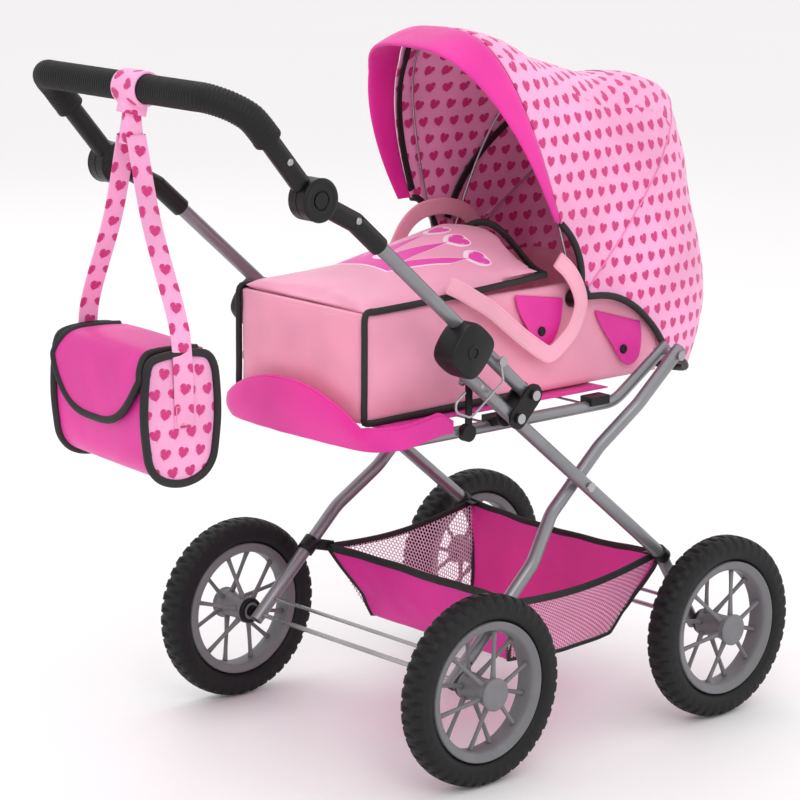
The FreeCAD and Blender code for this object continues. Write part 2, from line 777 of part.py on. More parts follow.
def bag_point(forward, left, height):
    """A point in the bag's own turned axes, from the middle of its floor."""
    return bag_middle + bag_turn.multVec(Vector(forward, left, 0)) + UP * height


def bag_body():
    """Soft box with rounded lower edges, open on top under its flap."""
    body, sketch = body_with_sketch("XZ_Plane")
    half = "bag_depth / 2"
    outline(sketch, [(f"0 - {half} + 12", "0"), (f"{half} - 12", "0"), (half, "12"),
                     (half, "bag_height"), (f"0 - {half}", "bag_height"),
                     (f"0 - {half}", "12")])
    pad(body, sketch, "bag_width")
    inner = sketch_on(body, "XZ_Plane")
    outline(inner, [(f"0 - {half} + 14", "3"), (f"{half} - 14", "3"), (f"{half} - 3", "14"),
                    (f"{half} - 3", "bag_height + 5"), (f"0 - {half} + 3", "bag_height + 5"),
                    (f"0 - {half} + 3", "14")])
    pocket(body, inner, "bag_width - 6")
    body.Placement = Placement(bag_middle, bag_turn)
    return node("bag_body", body)


bag_body()
flap_top = block("bag_depth + 2", "bag_width - 29", "2.4",
                 bag_point(-1.5, 0, dim("bag_height") + 1.6), bag_turn)
flap_drop = block("2.4", "bag_width - 40", "46",
                  bag_point(-dim("bag_depth") / 2 - 1.6, 0, dim("bag_height") - 20.2), bag_turn)
node("bag_flap", joined([flap_top, flap_drop]))


def bag_strap():
    """One band from gusset to gusset, gathered under the handlebar."""
    half = dim("bag_width") / 2 + 1.3
    thick = dim("strap_thick") / 2
    width = dim("strap_width") / 2
    knot = bar_z - 44 - dim("bag_floor")
    parts = []
    for side in (1, -1):
        rows = []
        for left, height in ((half, 82), (half, dim("bag_height") + 1), (9, knot)):
            rows.append([bag_point(-width, side * (left - thick), height),
                         bag_point(width, side * (left - thick), height),
                         bag_point(width, side * (left + thick), height),
                         bag_point(-width, side * (left + thick), height)])
        parts.append(loft(rows))
    keeper = loft([[bag_point(-width, -12, knot - 1), bag_point(width, -12, knot - 1),
                    bag_point(width, 12, knot - 1), bag_point(-width, 12, knot - 1)],
                   [bag_point(-width * 0.5, -12, knot + 27), bag_point(width * 0.5, -12, knot + 27),
                    bag_point(width * 0.5, 12, knot + 27),
                    bag_point(-width * 0.5, 12, knot + 27)]])
    return parts[0].fuse([parts[1], keeper])


node("bag_strap", solid(bag_strap()))
node("bag_loop", cut(rod("grip_radius + 2.8", "34", bar_middle),
                     rod("grip_radius + 0.4", "40", bar_middle)))

# ----------------------------------------------------------------------------------------- output
doc.recompute()
failed = [o.Label for o in doc.Objects if {"Invalid", "Error"} & set(o.State)]
if failed:
    raise RuntimeError(f"these objects failed: {failed}")
os.makedirs("parts", exist_ok=True)
for label, thing in nodes.items():
    shape = thing.Shape
    if shape.isNull() or not shape.isValid():
        raise RuntimeError(f"{label} has no valid shape")
    shape.exportStep(f"parts/{label}.step")
whole = FreeCAD.BoundBox()
for thing in nodes.values():
    whole.add(thing.Shape.BoundBox)
print(len(nodes), "nodes;", f"x {whole.XMin:.1f} to {whole.XMax:.1f},",
      f"y {whole.YMin:.1f} to {whole.YMax:.1f}, z {whole.ZMin:.1f} to {whole.ZMax:.1f}")
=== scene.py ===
"""Finished doll's pram built round its packed working frame.

Every shape is worked out in millimetres ahead of the rear axle, left of the middle plane and above
the ground. Frame.place() turns such points into the row frame, in metres. A shape is either a
function of two parameters on a grid or a profile carried along a path.
"""

import logging
import math
from dataclasses import dataclass, field
from enum import Enum
from typing import Optional, Sequence, Union

import bmesh
import bpy
import numpy as np
from mathutils import Matrix, Vector


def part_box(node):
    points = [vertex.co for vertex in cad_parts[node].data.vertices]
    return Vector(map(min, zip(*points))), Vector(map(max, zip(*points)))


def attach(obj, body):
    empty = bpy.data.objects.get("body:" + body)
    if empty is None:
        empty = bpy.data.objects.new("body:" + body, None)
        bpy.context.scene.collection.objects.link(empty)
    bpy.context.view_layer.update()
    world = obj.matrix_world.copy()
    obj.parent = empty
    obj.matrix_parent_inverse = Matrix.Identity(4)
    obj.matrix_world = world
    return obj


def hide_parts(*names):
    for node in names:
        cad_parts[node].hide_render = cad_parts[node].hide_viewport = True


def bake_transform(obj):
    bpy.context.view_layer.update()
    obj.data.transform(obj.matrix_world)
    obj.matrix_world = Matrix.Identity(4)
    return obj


log = logging.getLogger("pram")
Array = np.ndarray
Colour = tuple[float, float, float]
SIDES = {"left": 1, "right": -1}
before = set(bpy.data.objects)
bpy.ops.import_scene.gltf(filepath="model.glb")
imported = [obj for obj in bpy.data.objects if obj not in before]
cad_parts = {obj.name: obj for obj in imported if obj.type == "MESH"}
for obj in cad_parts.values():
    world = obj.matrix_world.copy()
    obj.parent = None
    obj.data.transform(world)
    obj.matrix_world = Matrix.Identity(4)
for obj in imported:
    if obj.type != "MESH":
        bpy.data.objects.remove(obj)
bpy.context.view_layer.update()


# ------------------------------------------------------------------------------------ shader maths
@dataclass(frozen=True)
class Wire:
    """An output socket that takes part in arithmetic, adding Math nodes as it goes."""

    tree: bpy.types.NodeTree
    socket: bpy.types.NodeSocket

    def math(self, operation: str, *others: Union["Wire", float], first: bool = True) -> "Wire":
        """One Math node on this value.

        Args:
            operation: the node's operation.
            others: the remaining operands.
            first: False puts this value after the others.

        Returns:
            The node's result.
        """
        node = self.tree.nodes.new("ShaderNodeMath")
        node.operation = operation
        operands = (self, *others) if first else (*others, self)
        for slot, value in zip(node.inputs, operands):
            if isinstance(value, Wire):
                self.tree.links.new(value.socket, slot)
            else:
                slot.default_value = value
        return Wire(self.tree, node.outputs[0])

    def __add__(self, other: Union["Wire", float]) -> "Wire":
        """Sum."""
        return self.math("ADD", other)

    def __sub__(self, other: Union["Wire", float]) -> "Wire":
        """Difference."""
        return self.math("SUBTRACT", other)

    def __rsub__(self, other: float) -> "Wire":
        """A number less this value."""
        return self.math("SUBTRACT", other, first=False)

    def __mul__(self, other: Union["Wire", float]) -> "Wire":
        """Product."""
        return self.math("MULTIPLY", other)

    def __truediv__(self, other: Union["Wire", float]) -> "Wire":
        """Quotient."""
        return self.math("DIVIDE", other)

    __radd__, __rmul__ = __add__, __mul__

    def wave(self) -> "Wire":
        """Sine of this value."""
        return self.math("SINE")

    def size(self) -> "Wire":
        """Absolute value."""
        return self.math("ABSOLUTE")

    def fraction(self) -> "Wire":
        """Fractional part."""
        return self.math("FRACT")

    def whole(self) -> "Wire":
        """Largest whole number below."""
        return self.math("FLOOR")

    def larger(self, other: Union["Wire", float]) -> "Wire":
        """The larger of two."""
        return self.math("MAXIMUM", other)


class Dye:
    """A material under construction, with one principled shader."""

    def __init__(self, name: str) -> None:
        """Start an empty material of that name.

        Args:
            name: the material's name.
        """
        self.material = bpy.data.materials.new(name)
        self.material.use_nodes = True
        self.tree = self.material.node_tree
        self.tree.nodes.clear()
        self.shader = self.tree.nodes.new("ShaderNodeBsdfPrincipled")
        output = self.tree.nodes.new("ShaderNodeOutputMaterial")
        self.tree.links.new(self.shader.outputs[0], output.inputs["Surface"])

    def node(self, kind: str, settings: Optional[dict] = None,
             values: Optional[dict] = None, output: Union[int, str] = 0) -> Wire:
        """Any node.

        Args:
            kind: the node's type.
            settings: the node's own properties.
            values: socket name or index to a number, a colour or a Wire.
            output: which output to hand back.

        Returns:
            That output.
        """
        made = self.tree.nodes.new(kind)
        for key, value in (settings or {}).items():
            setattr(made, key, value)
        for key, value in (values or {}).items():
            self.feed(made.inputs[key], value)
        return Wire(self.tree, made.outputs[output])

    def feed(self, socket: bpy.types.NodeSocket, value: Union[Wire, float, Sequence]) -> None:
        """Give a socket a link or a value.

        Args:
            socket: where it goes.
            value: a Wire, a number or a colour.
        """
        if isinstance(value, Wire):
            self.tree.links.new(value.socket, socket)
        elif isinstance(value, (tuple, list)) and socket.type == "RGBA":
            socket.default_value = (*value[:3], 1.0)
        else:
            socket.default_value = value

    def set(self, **values: Union[Wire, float, Sequence]) -> None:
        """Feed the shader's sockets, with their spaces written as underscores."""
        for key, value in values.items():
            self.feed(self.shader.inputs[key.replace("_", " ")], value)

    def place(self) -> Wire:
        """Object coordinates, in metres."""
        return self.node("ShaderNodeTexCoord", output="Object")

    def axes(self, vector: Wire) -> tuple[Wire, Wire, Wire]:
        """The three components of a vector.

        Args:
            vector: the vector.

        Returns:
            Its x, y and z.
        """
        parts = self.tree.nodes.new("ShaderNodeSeparateXYZ")
        self.feed(parts.inputs[0], vector)
        return tuple(Wire(self.tree, parts.outputs[i]) for i in range(3))

    def chart(self) -> tuple[Wire, Wire]:
        """The piece's own surface coordinates, in metres."""
        u, v, _ = self.axes(self.node("ShaderNodeUVMap", {"uv_map": "Chart"}))
        return u, v

    def noise(self, scale: float, detail: float = 3.0, roughness: float = 0.5) -> Wire:
        """Noise over object coordinates, from 0 to 1."""
        return self.node("ShaderNodeTexNoise", None,
                         {"Vector": self.place(), "Scale": scale, "Detail": detail,
                          "Roughness": roughness})

    def blend(self, share: Wire, low: Union[Wire, Colour], high: Union[Wire, Colour]) -> Wire:
        """A colour between two, by share."""
        return self.node("ShaderNodeMix", {"data_type": "RGBA"},
                         {0: share, 6: low, 7: high}, output=2)

    def ramp(self, value: Wire, low: float, high: float, start: float = 0.0,
             end: float = 1.0) -> Wire:
        """Value from low..high moved smoothly to start..end."""
        return self.node("ShaderNodeMapRange", {"interpolation_type": "SMOOTHSTEP"},
                         {0: value, 1: low, 2: high, 3: start, 4: end})

    def relief(self, height: Wire, distance: float, strength: float = 1.0) -> None:
        """Drive the shader's normal from a height."""
        self.set(Normal=self.node("ShaderNodeBump", None,
                                  {"Height": height, "Distance": distance, "Strength": strength}))


def shade(colour: Colour, factor: float, lift: float = 0.0) -> Colour:
    """A colour scaled and lifted, and kept at 1 or less."""
    return tuple(min(1.0, c * factor + lift) for c in colour)


class Print(Enum):
    """What is printed on a cloth."""

    PLAIN = "plain"
    HEARTS = "hearts"
    CROWN = "crown"


def heart_field(x: Wire, y: Wire) -> Wire:
    """Below zero inside a heart one unit in half-width: (x2 + y2 - 1)3 - x2 y3.

    Args:
        x: across.
        y: up.

    Returns:
        The field.
    """
    square = x * x
    ring = square + y * y - 1.0
    return ring * ring * ring - square * y * y * y


@dataclass(frozen=True)
class Fabric:
    """Woven cloth, with weave, soft creases and an optional print."""

    name: str
    ground: Colour
    slot: str
    printed: Print = Print.PLAIN
    ink: Colour = (0.62, 0.012, 0.19)
    weave: float = 0.0011
    crease: float = 0.0012
    sheen: float = 0.25
    roughness: float = 0.62
    pitch: float = 0.0185
    heart: float = 0.0050

    def hearts(self, dye: Dye) -> Wire:
        """Mask of staggered, slightly tilted hearts on the piece's chart.

        Args:
            dye: the material under construction.

        Returns:
            1 inside a heart and 0 outside.
        """
        u, v = dye.chart()
        row = (v / self.pitch).whole()
        parity = (row * 0.5).fraction() * 2.0
        x = ((u / self.pitch + parity * 0.5).fraction() - 0.5) * (self.pitch / self.heart)
        y = ((v / self.pitch).fraction() - 0.5) * (self.pitch / self.heart)
        lean = parity * 0.5 - 0.25
        return dye.ramp(heart_field(x - y * lean, y + x * lean), -0.06, 0.06, 1.0, 0.0)

    def crown(self, dye: Dye) -> tuple[Wire, Wire]:
        """Mask of a four-pointed crown with hearts on its points, and of its white edge.

        The crown's top edge is a zigzag, |fraction(u / point) - 1/2|, and it leans with height.

        Args:
            dye: the material under construction.

        Returns:
            The mask and the edge.
        """
        x, y, _ = dye.axes(dye.place())
        v = x - (Frame.axle_x + 0.022)
        u = y - 0.010 + v * 0.28
        point, tall = 0.030, 0.064
        peak = ((u / point).fraction() - 0.5).size() * (-1.9 * tall) + tall * 1.2
        outside = (v - peak).larger(u.size() - v * 0.18 - 0.040).larger(v * -1.0 - 0.004)
        inside = dye.ramp(outside, -0.0004, 0.0004, 1.0, 0.0)
        rim = dye.ramp(outside, 0.0016, 0.0024, 1.0, 0.0)
        a, b = u * 85.0, (v - 0.018) * 150.0
        tips = inside * dye.ramp(a * a + b * b, 0.9, 1.1)
        for centre in (-1.5, -0.5, 0.5, 1.5):
            field_ = heart_field((u - centre * point) / 0.0085, (v - tall * 1.34) / 0.0085)
            tips = tips.larger(dye.ramp(field_, -0.05, 0.05, 1.0, 0.0))
            rim = rim.larger(dye.ramp(field_, 0.9, 1.6, 1.0, 0.0))
        return tips, rim

    def material(self) -> bpy.types.Material:
        """The finished material.

        Returns:
            The finished material.
        """
        dye = Dye(self.name)
        x, y, z = dye.axes(dye.place())
        cloudy = dye.noise(9.0, 2.0)
        pale = shade(self.ground, 1.06, 0.01)
        deep = shade(self.ground, 0.86)
        colour = dye.blend(dye.ramp(cloudy, 0.3, 0.7), deep, pale)
        if self.printed is Print.HEARTS:
            ink = dye.blend(dye.noise(60.0, 2.0), self.ink, shade(self.ink, 1.25))
            colour = dye.blend(self.hearts(dye), colour, ink)
        if self.printed is Print.CROWN:
            motif, rim = self.crown(dye)
            colour = dye.blend(rim, colour, (0.98, 0.78, 0.86))
            colour = dye.blend(motif, colour, self.ink)
        turns = 2.0 * math.pi / self.weave
        weave = ((x + z) * turns).wave() * ((y + z * 0.6) * turns).wave()
        colour = dye.blend(weave * 0.05 + 0.05, colour, deep)
        dye.set(Base_Color=colour, Roughness=dye.noise(120.0, 2.0) * 0.12 + self.roughness - 0.06)
        dye.shader.inputs["Sheen Weight"].default_value = self.sheen
        dye.shader.inputs["Sheen Roughness"].default_value = 0.4
        folds = dye.noise(26.0, 3.0, 0.45) * self.crease + weave * 0.00006
        dye.relief(folds, 1.0, 0.55)
        return dye.material


@dataclass(frozen=True)
class Net:
    """Open mesh cloth: round holes on a staggered grid, cut by alpha."""

    name: str
    thread: Colour
    slot: str
    pitch: float = 0.0042

    def material(self) -> bpy.types.Material:
        """The finished material.

        Returns:
            The finished material.
        """
        dye = Dye(self.name)
        u, v = dye.chart()
        row = (v / (self.pitch * 0.8)).whole()
        shift = (row * 0.5).fraction()
        x = (u / self.pitch + shift).fraction() - 0.5
        y = (v / (self.pitch * 0.8)).fraction() - 0.5
        radius = x * x + y * y
        thread = dye.ramp(radius, 0.135, 0.165)
        dye.set(Base_Color=dye.blend(dye.noise(40.0), self.thread, shade(self.thread, 0.8)),
                Roughness=thread * 0.2 + 0.45, Alpha=thread)
        dye.relief(radius * 0.0004, 1.0)
        return dye.material


@dataclass(frozen=True)
class Plastic:
    """Moulded plastic or rubber with a fine grain and faint scuffs."""

    name: str
    colour: Colour
    slot: str
    roughness: float = 0.42
    grain: float = 0.00005
    dust: float = 0.0

    def material(self) -> bpy.types.Material:
        """The finished material.

        Returns:
            The finished material.
        """
        dye = Dye(self.name)
        fine, broad = dye.noise(1400.0, 2.0), dye.noise(22.0, 4.0, 0.6)
        light = shade(self.colour, 1.4, self.dust)
        colour = dye.blend(dye.ramp(broad, 0.45, 0.8, 0.0, 0.6), self.colour, light)
        dye.set(Base_Color=colour,
                Roughness=broad * 0.18 + fine * 0.06 + self.roughness - 0.12)
        dye.shader.inputs["Specular IOR Level"].default_value = 0.3
        dye.relief(fine * self.grain + broad * self.grain, 1.0)
        return dye.material


@dataclass(frozen=True)
class Metal:
    """Painted or bright metal with a slight orange peel and rubbed patches."""

    name: str
    colour: Colour
    slot: str
    metallic: float = 0.75
    roughness: float = 0.34
    peel: float = 0.00003

    def material(self) -> bpy.types.Material:
        """The finished material.

        Returns:
            The finished material.
        """
        dye = Dye(self.name)
        peel, cloud = dye.noise(650.0, 2.0), dye.noise(14.0, 5.0, 0.62)
        worn = shade(self.colour, 0.84)
        dye.set(Base_Color=dye.blend(dye.ramp(cloud, 0.35, 0.75), self.colour, worn),
                Roughness=dye.ramp(cloud, 0.3, 0.8, self.roughness - 0.05,
                                   self.roughness + 0.08) + peel * 0.04,
                Metallic=dye.ramp(cloud, 0.2, 0.9, self.metallic, self.metallic * 0.92))
        dye.relief(peel * self.peel, 1.0)
        return dye.material


@dataclass(frozen=True)
class Ground:
    """Pale studio floor with barely visible clouding."""

    name: str
    colour: Colour

    def material(self) -> bpy.types.Material:
        """The finished material.

        Returns:
            The finished material.
        """
        dye = Dye(self.name)
        cloud = dye.noise(1.5, 2.0)
        dye.set(Base_Color=dye.blend(cloud, self.colour, shade(self.colour, 0.985)),
                Roughness=cloud * 0.1 + 0.5)
        return dye.material


FINISHES = {
    "seam_cloth": Fabric("seam_cloth", (0.80, 0.22, 0.46), "heart_cloth"),
    "frame_paint": Metal("silver_paint", (0.27, 0.27, 0.285), "frame_paint", 0.7, 0.34),
    "bright_steel": Metal("plated_steel", (0.42, 0.42, 0.43), "bright_steel", 0.95, 0.26),
    "rim_plastic": Plastic("grey_wheel_plastic", (0.17, 0.168, 0.178), "rim_plastic", 0.46),
    "tyre_rubber": Plastic("tyre_rubber", (0.006, 0.006, 0.007), "tyre_rubber", 0.55,
                           0.00009, 0.002),
    "black_plastic": Plastic("black_moulding", (0.005, 0.005, 0.0055), "black_plastic", 0.40),
    "grip_foam": Plastic("ribbed_grip", (0.006, 0.006, 0.0065), "grip_foam", 0.55, 0.00008),
    "pale_cloth": Fabric("pale_pink_cloth", (0.90, 0.35, 0.50), "pale_cloth"),
    "apron_cloth": Fabric("apron_cloth", (0.88, 0.37, 0.53), "pale_cloth", Print.CROWN,
                          (0.80, 0.045, 0.42)),
    "magenta_cloth": Fabric("magenta_cloth", (0.78, 0.012, 0.33), "magenta_cloth",
                            sheen=0.15, roughness=0.5),
    "heart_cloth": Fabric("heart_print_cloth", (0.92, 0.38, 0.64), "heart_cloth", Print.HEARTS,
                          (0.52, 0.008, 0.15)),
    "binding": Fabric("black_binding", (0.004, 0.0035, 0.004), "magenta_cloth", weave=0.0008,
                      crease=0.0006, sheen=0.0),
    "webbing": Fabric("pink_webbing", (0.90, 0.40, 0.53), "webbing", weave=0.0016),
    "net": Net("white_net", (0.90, 0.62, 0.76), "magenta_cloth"),
}
MADE: dict[str, bpy.types.Material] = {}
WELD = 0.00002  # metres between points that are merged
SIMMER_FRAMES = 20
TINY = 1e-9  # keeps a division clear of zero


def finish(obj: bpy.types.Object, key: str) -> None:
    """Give a piece one of the finishes, made once.

    Args:
        obj: the piece.
        key: which finish.
    """
    if key not in MADE:
        MADE[key] = FINISHES[key].material()
    obj.data.materials.clear()
    obj.data.materials.append(MADE[key])


# -------------------------------------------------------------------------------------- geometry
class Frame:
    """Turns millimetres ahead, left and up into the row frame."""

    low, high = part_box("rear_axle")
    axle_x = (low.x + high.x) / 2

    @classmethod
    def place(cls, points: Array) -> Array:
        """Points in the row frame, in metres."""
        return np.asarray(points, float) / 1000.0 + np.array([cls.axle_x, 0.0, 0.0])


def unit(vectors: Array) -> Array:
    """Vectors at length one."""
    return vectors / np.maximum(np.linalg.norm(vectors, axis=-1, keepdims=True), TINY)


def bowed(values: Array, power: float) -> Array:
    """Values raised to a power with their signs kept, as a superellipse needs."""
    return np.sign(values) * np.abs(values) ** power


def full_turn(steps: int) -> Array:
    """Angles of one turn, without the last that meets the first."""
    return np.linspace(0, 2 * math.pi, steps, endpoint=False)


def smooth(points: Sequence, count: int, closed: bool = False) -> Array:
    """A curve through points: a uniform Catmull-Rom cubic over each run.

    Args:
        points: the points it passes through.
        count: how many points to give back, evenly spaced along it.
        closed: whether it comes back to its start.

    Returns:
        The points along the curve.
    """
    p = np.asarray(points, float)
    if closed:
        p = np.vstack([p[-1:], p, p[:2]])
    else:
        p = np.vstack([2 * p[0] - p[1], p, 2 * p[-1] - p[-2]])
    runs = len(p) - 3
    t = np.linspace(0, runs, runs * 24 + 1)
    i = np.minimum(t.astype(int), runs - 1)
    f = (t - i)[:, None]
    a, b, c, d = p[i], p[i + 1], p[i + 2], p[i + 3]
    fine = 0.5 * (2 * b + (c - a) * f + (2 * a - 5 * b + 4 * c - d) * f ** 2
                  + (3 * b - a - 3 * c + d) * f ** 3)
    return spaced(fine, count)


def spaced(path: Sequence, count: int) -> Array:
    """A polyline's points respaced evenly along its length.

    Args:
        path: the points of the polyline.
        count: how many to give back.

    Returns:
        The respaced points.
    """
    path = np.asarray(path, float)
    steps = np.linalg.norm(np.diff(path, axis=0), axis=1)
    along = np.concatenate([[0], np.cumsum(steps)])
    wanted = np.linspace(0, along[-1], count)
    return np.stack([np.interp(wanted, along, path[:, k]) for k in range(path.shape[1])], 1)


def ripple(points: Array, length: float, seed: int) -> Array:
    """Soft unevenness between -1 and 1: eight sine waves in seeded directions.

    Args:
        points: where it is wanted.
        length: usual length of a wave, in millimetres.
        seed: which pattern.

    Returns:
        One number for each point.
    """
    rng = np.random.default_rng(seed)
    total = np.zeros(points.shape[:-1])
    for _ in range(8):
        direction = unit(rng.normal(size=3)) * (2 * math.pi / length) * rng.uniform(0.6, 1.7)
        total += np.sin(points @ direction + rng.uniform(0, 6.28))
    return total / 8


def chart_of(grid: Array) -> Array:
    """Surface coordinates in metres: mean length along the rows and along the columns.

    Args:
        grid: rows by columns by three, in millimetres.

    Returns:
        Two coordinates for each point.
    """
    down = np.linalg.norm(np.diff(grid, axis=0), axis=2).mean(1)
    over = np.linalg.norm(np.diff(grid, axis=1), axis=2).mean(0)
    v = np.concatenate([[0], np.cumsum(down)])
    u = np.concatenate([[0], np.cumsum(over)])
    return np.stack(np.meshgrid(u - u[-1] / 2, v - v[-1] / 2), -1) / 1000.0


class Piece:
    """One visible piece: a mesh in the row frame with its finish, its body and what it hides."""

    def __init__(self, name: str, body: str, look: str, hides: Sequence[str] = ()) -> None:
        """Name a piece, its body, its finish and the CAD nodes it stands for.

        Args:
            name: the piece's name.
            body: the body it rides on.
            look: its finish.
            hides: the CAD nodes it stands for.
        """
        self.name, self.body, self.look, self.hides = name, body, look, hides
        self.corners: list[Array] = []
        self.faces: list[Array] = []
        self.charts: list[Array] = []
        self.count = 0
        self.obj: Optional[bpy.types.Object] = None

    def grid(self, grid: Array, around: bool = False, closed: bool = False,
             chart: Optional[Array] = None, flip: bool = False) -> "Piece":
        """Add a surface over a grid of points.

        Args:
            grid: rows by columns by three, in millimetres.
            around: whether the last column meets the first.
            closed: whether the last row meets the first.
            chart: surface coordinates, one row or column more where it wraps.
            flip: whether to turn its faces over.

        Returns:
            The piece.
        """
        rows, columns = grid.shape[:2]
        index = np.arange(rows * columns).reshape(rows, columns) + self.count
        full = grid
        if closed:
            index, full = np.vstack([index, index[:1]]), np.concatenate([full, full[:1]], 0)
        if around:
            index = np.hstack([index, index[:, :1]])
            full = np.concatenate([full, full[:, :1]], 1)
        chart = chart_of(full) if chart is None else chart
        order = [(0, 0), (0, 1), (1, 1), (1, 0)] if flip else [(0, 0), (1, 0), (1, 1), (0, 1)]
        n, m = index.shape
        pick = [np.s_[a:n - 1 + a, b:m - 1 + b] for a, b in order]
        self.faces.append(np.stack([index[p] for p in pick], -1).reshape(-1, 4))
        self.charts.append(np.stack([chart[p] for p in pick], -2).reshape(-1, 2))
        self.corners.append(grid.reshape(-1, 3))
        self.count += rows * columns
        return self

    def tube(self, path: Array, profile: Array, toward: Sequence = (0, 1, 0),
             scale: Optional[Array] = None, ends: bool = True, loop: bool = False) -> "Piece":
        """Carry a closed profile along a path.

        Each point is path + profile.x * side + profile.y * over, where over is the part of
        toward that is square to the path and side is square to both.

        Args:
            path: the middle line.
            profile: closed outline, columns side and over, in millimetres.
            toward: direction that over leans to, one for all or one for each point.
            scale: size of the profile along the path.
            ends: whether both ends are closed.
            loop: whether the path comes back to its start.

        Returns:
            The piece.
        """
        if loop:
            run = unit(np.roll(path, -1, 0) - np.roll(path, 1, 0))
        else:
            run = unit(np.gradient(path, axis=0))
        lean = np.broadcast_to(np.asarray(toward, float), path.shape)
        side = unit(np.cross(run, lean))
        over = np.cross(side, run)
        size = np.ones(len(path)) if scale is None else scale
        size = size.reshape(len(path), 1, -1)
        p = profile[None] * size
        grid = path[:, None] + side[:, None] * p[..., :1] + over[:, None] * p[..., 1:]
        if ends and not loop:
            first, last = grid[:1].mean(1, keepdims=True), grid[-1:].mean(1, keepdims=True)
            shape = np.broadcast_to
            inner = [first + (grid[:1] - first) * s for s in (0.0, 0.6)]
            outer = [last + (grid[-1:] - last) * s for s in (0.6, 0.0)]
            grid = np.concatenate([shape(inner[0], grid[:1].shape), inner[1], grid, outer[0],
                                   shape(outer[1], grid[:1].shape)], 0)
        return self.grid(grid, around=True, closed=loop)

    def turned(self, profile: Array, centre: Sequence, axis: Sequence = (0, 1, 0),
               steps: int = 48) -> "Piece":
        """Turn a profile of (distance along the axis, radius) about an axis.

        Args:
            profile: columns distance and radius, in millimetres.
            centre: a point on the axis.
            axis: the axis's direction.
            steps: points round it.

        Returns:
            The piece.
        """
        axis = unit(np.asarray(axis, float))
        aside = unit(np.cross(axis, [0.3, 0.2, 1.0]))
        third = np.cross(axis, aside)
        turn = full_turn(steps)
        spoke = aside * np.cos(turn)[:, None] + third * np.sin(turn)[:, None]
        grid = (np.asarray(centre, float) + profile[:, None, :1] * axis
                + profile[:, None, 1:] * spoke[None])
        return self.grid(grid, around=True)

    def build(self) -> "Piece":
        """Make the mesh, weld its seams, set its faces outwards and give it its finish.

        Returns:
            The piece.
        """
        mesh = bpy.data.meshes.new(self.name)
        points = Frame.place(np.vstack(self.corners))
        mesh.from_pydata(points.tolist(), [], np.vstack(self.faces).tolist())
        layer = mesh.uv_layers.new(name="Chart")
        layer.data.foreach_set("uv", np.vstack(self.charts).ravel())
        self.obj = bpy.data.objects.new(self.name, mesh)
        bpy.context.scene.collection.objects.link(self.obj)
        work = bmesh.new()
        work.from_mesh(mesh)
        bmesh.ops.remove_doubles(work, verts=work.verts, dist=WELD)
        bmesh.ops.recalc_face_normals(work, faces=work.faces)
        work.to_mesh(mesh)
        work.free()
        mesh.polygons.foreach_set("use_smooth", [True] * len(mesh.polygons))
        finish(self.obj, self.look)
        return self

    def finishings(self, thickness: float = 0.0, levels: int = 0,
                   offset: float = 0.0) -> "Piece":
        """Optional wall thickness and subdivision.

        Args:
            thickness: wall, in millimetres.
            levels: subdivision.
            offset: -1 for a wall inwards, 1 for outwards.

        Returns:
            The piece.
        """
        if thickness:
            wall = self.obj.modifiers.new("Wall", "SOLIDIFY")
            wall.thickness, wall.offset = thickness / 1000, offset
        if levels:
            extra = self.obj.modifiers.new("Smooth", "SUBSURF")
            extra.levels = extra.render_levels = levels
        return self

    def settle(self) -> bpy.types.Object:
        """Ride on the body, hide the CAD nodes it stands for and report the piece."""
        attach(self.obj, self.body)
        return self.register()

    def register(self) -> bpy.types.Object:
        """Hide the CAD nodes and report the piece.

        Returns:
            Its object.
        """
        if self.hides:
            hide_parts(*self.hides)
        log.info("%s on %s, %d faces", self.name, self.body, len(self.obj.data.polygons))
        return self.obj


def circle(radius: float, steps: int = 16, flat: float = 1.0) -> Array:
    """A round profile, flattened across by a factor."""
    turn = full_turn(steps)
    return np.stack([radius * np.cos(turn), radius * flat * np.sin(turn)], 1)


def band(width: float, thick: float, steps: int = 24, power: float = 0.35) -> Array:
    """A flat profile with round edges: a superellipse of that width and thickness.

    Args:
        width: full width.
        thick: full thickness.
        steps: points round it.
        power: small for square ends, 1 for an ellipse.

    Returns:
        The outline.
    """
    turn = full_turn(steps)
    c, s = np.cos(turn), np.sin(turn)
    return np.stack([width / 2 * bowed(c, power), thick / 2 * bowed(s, power)], 1)


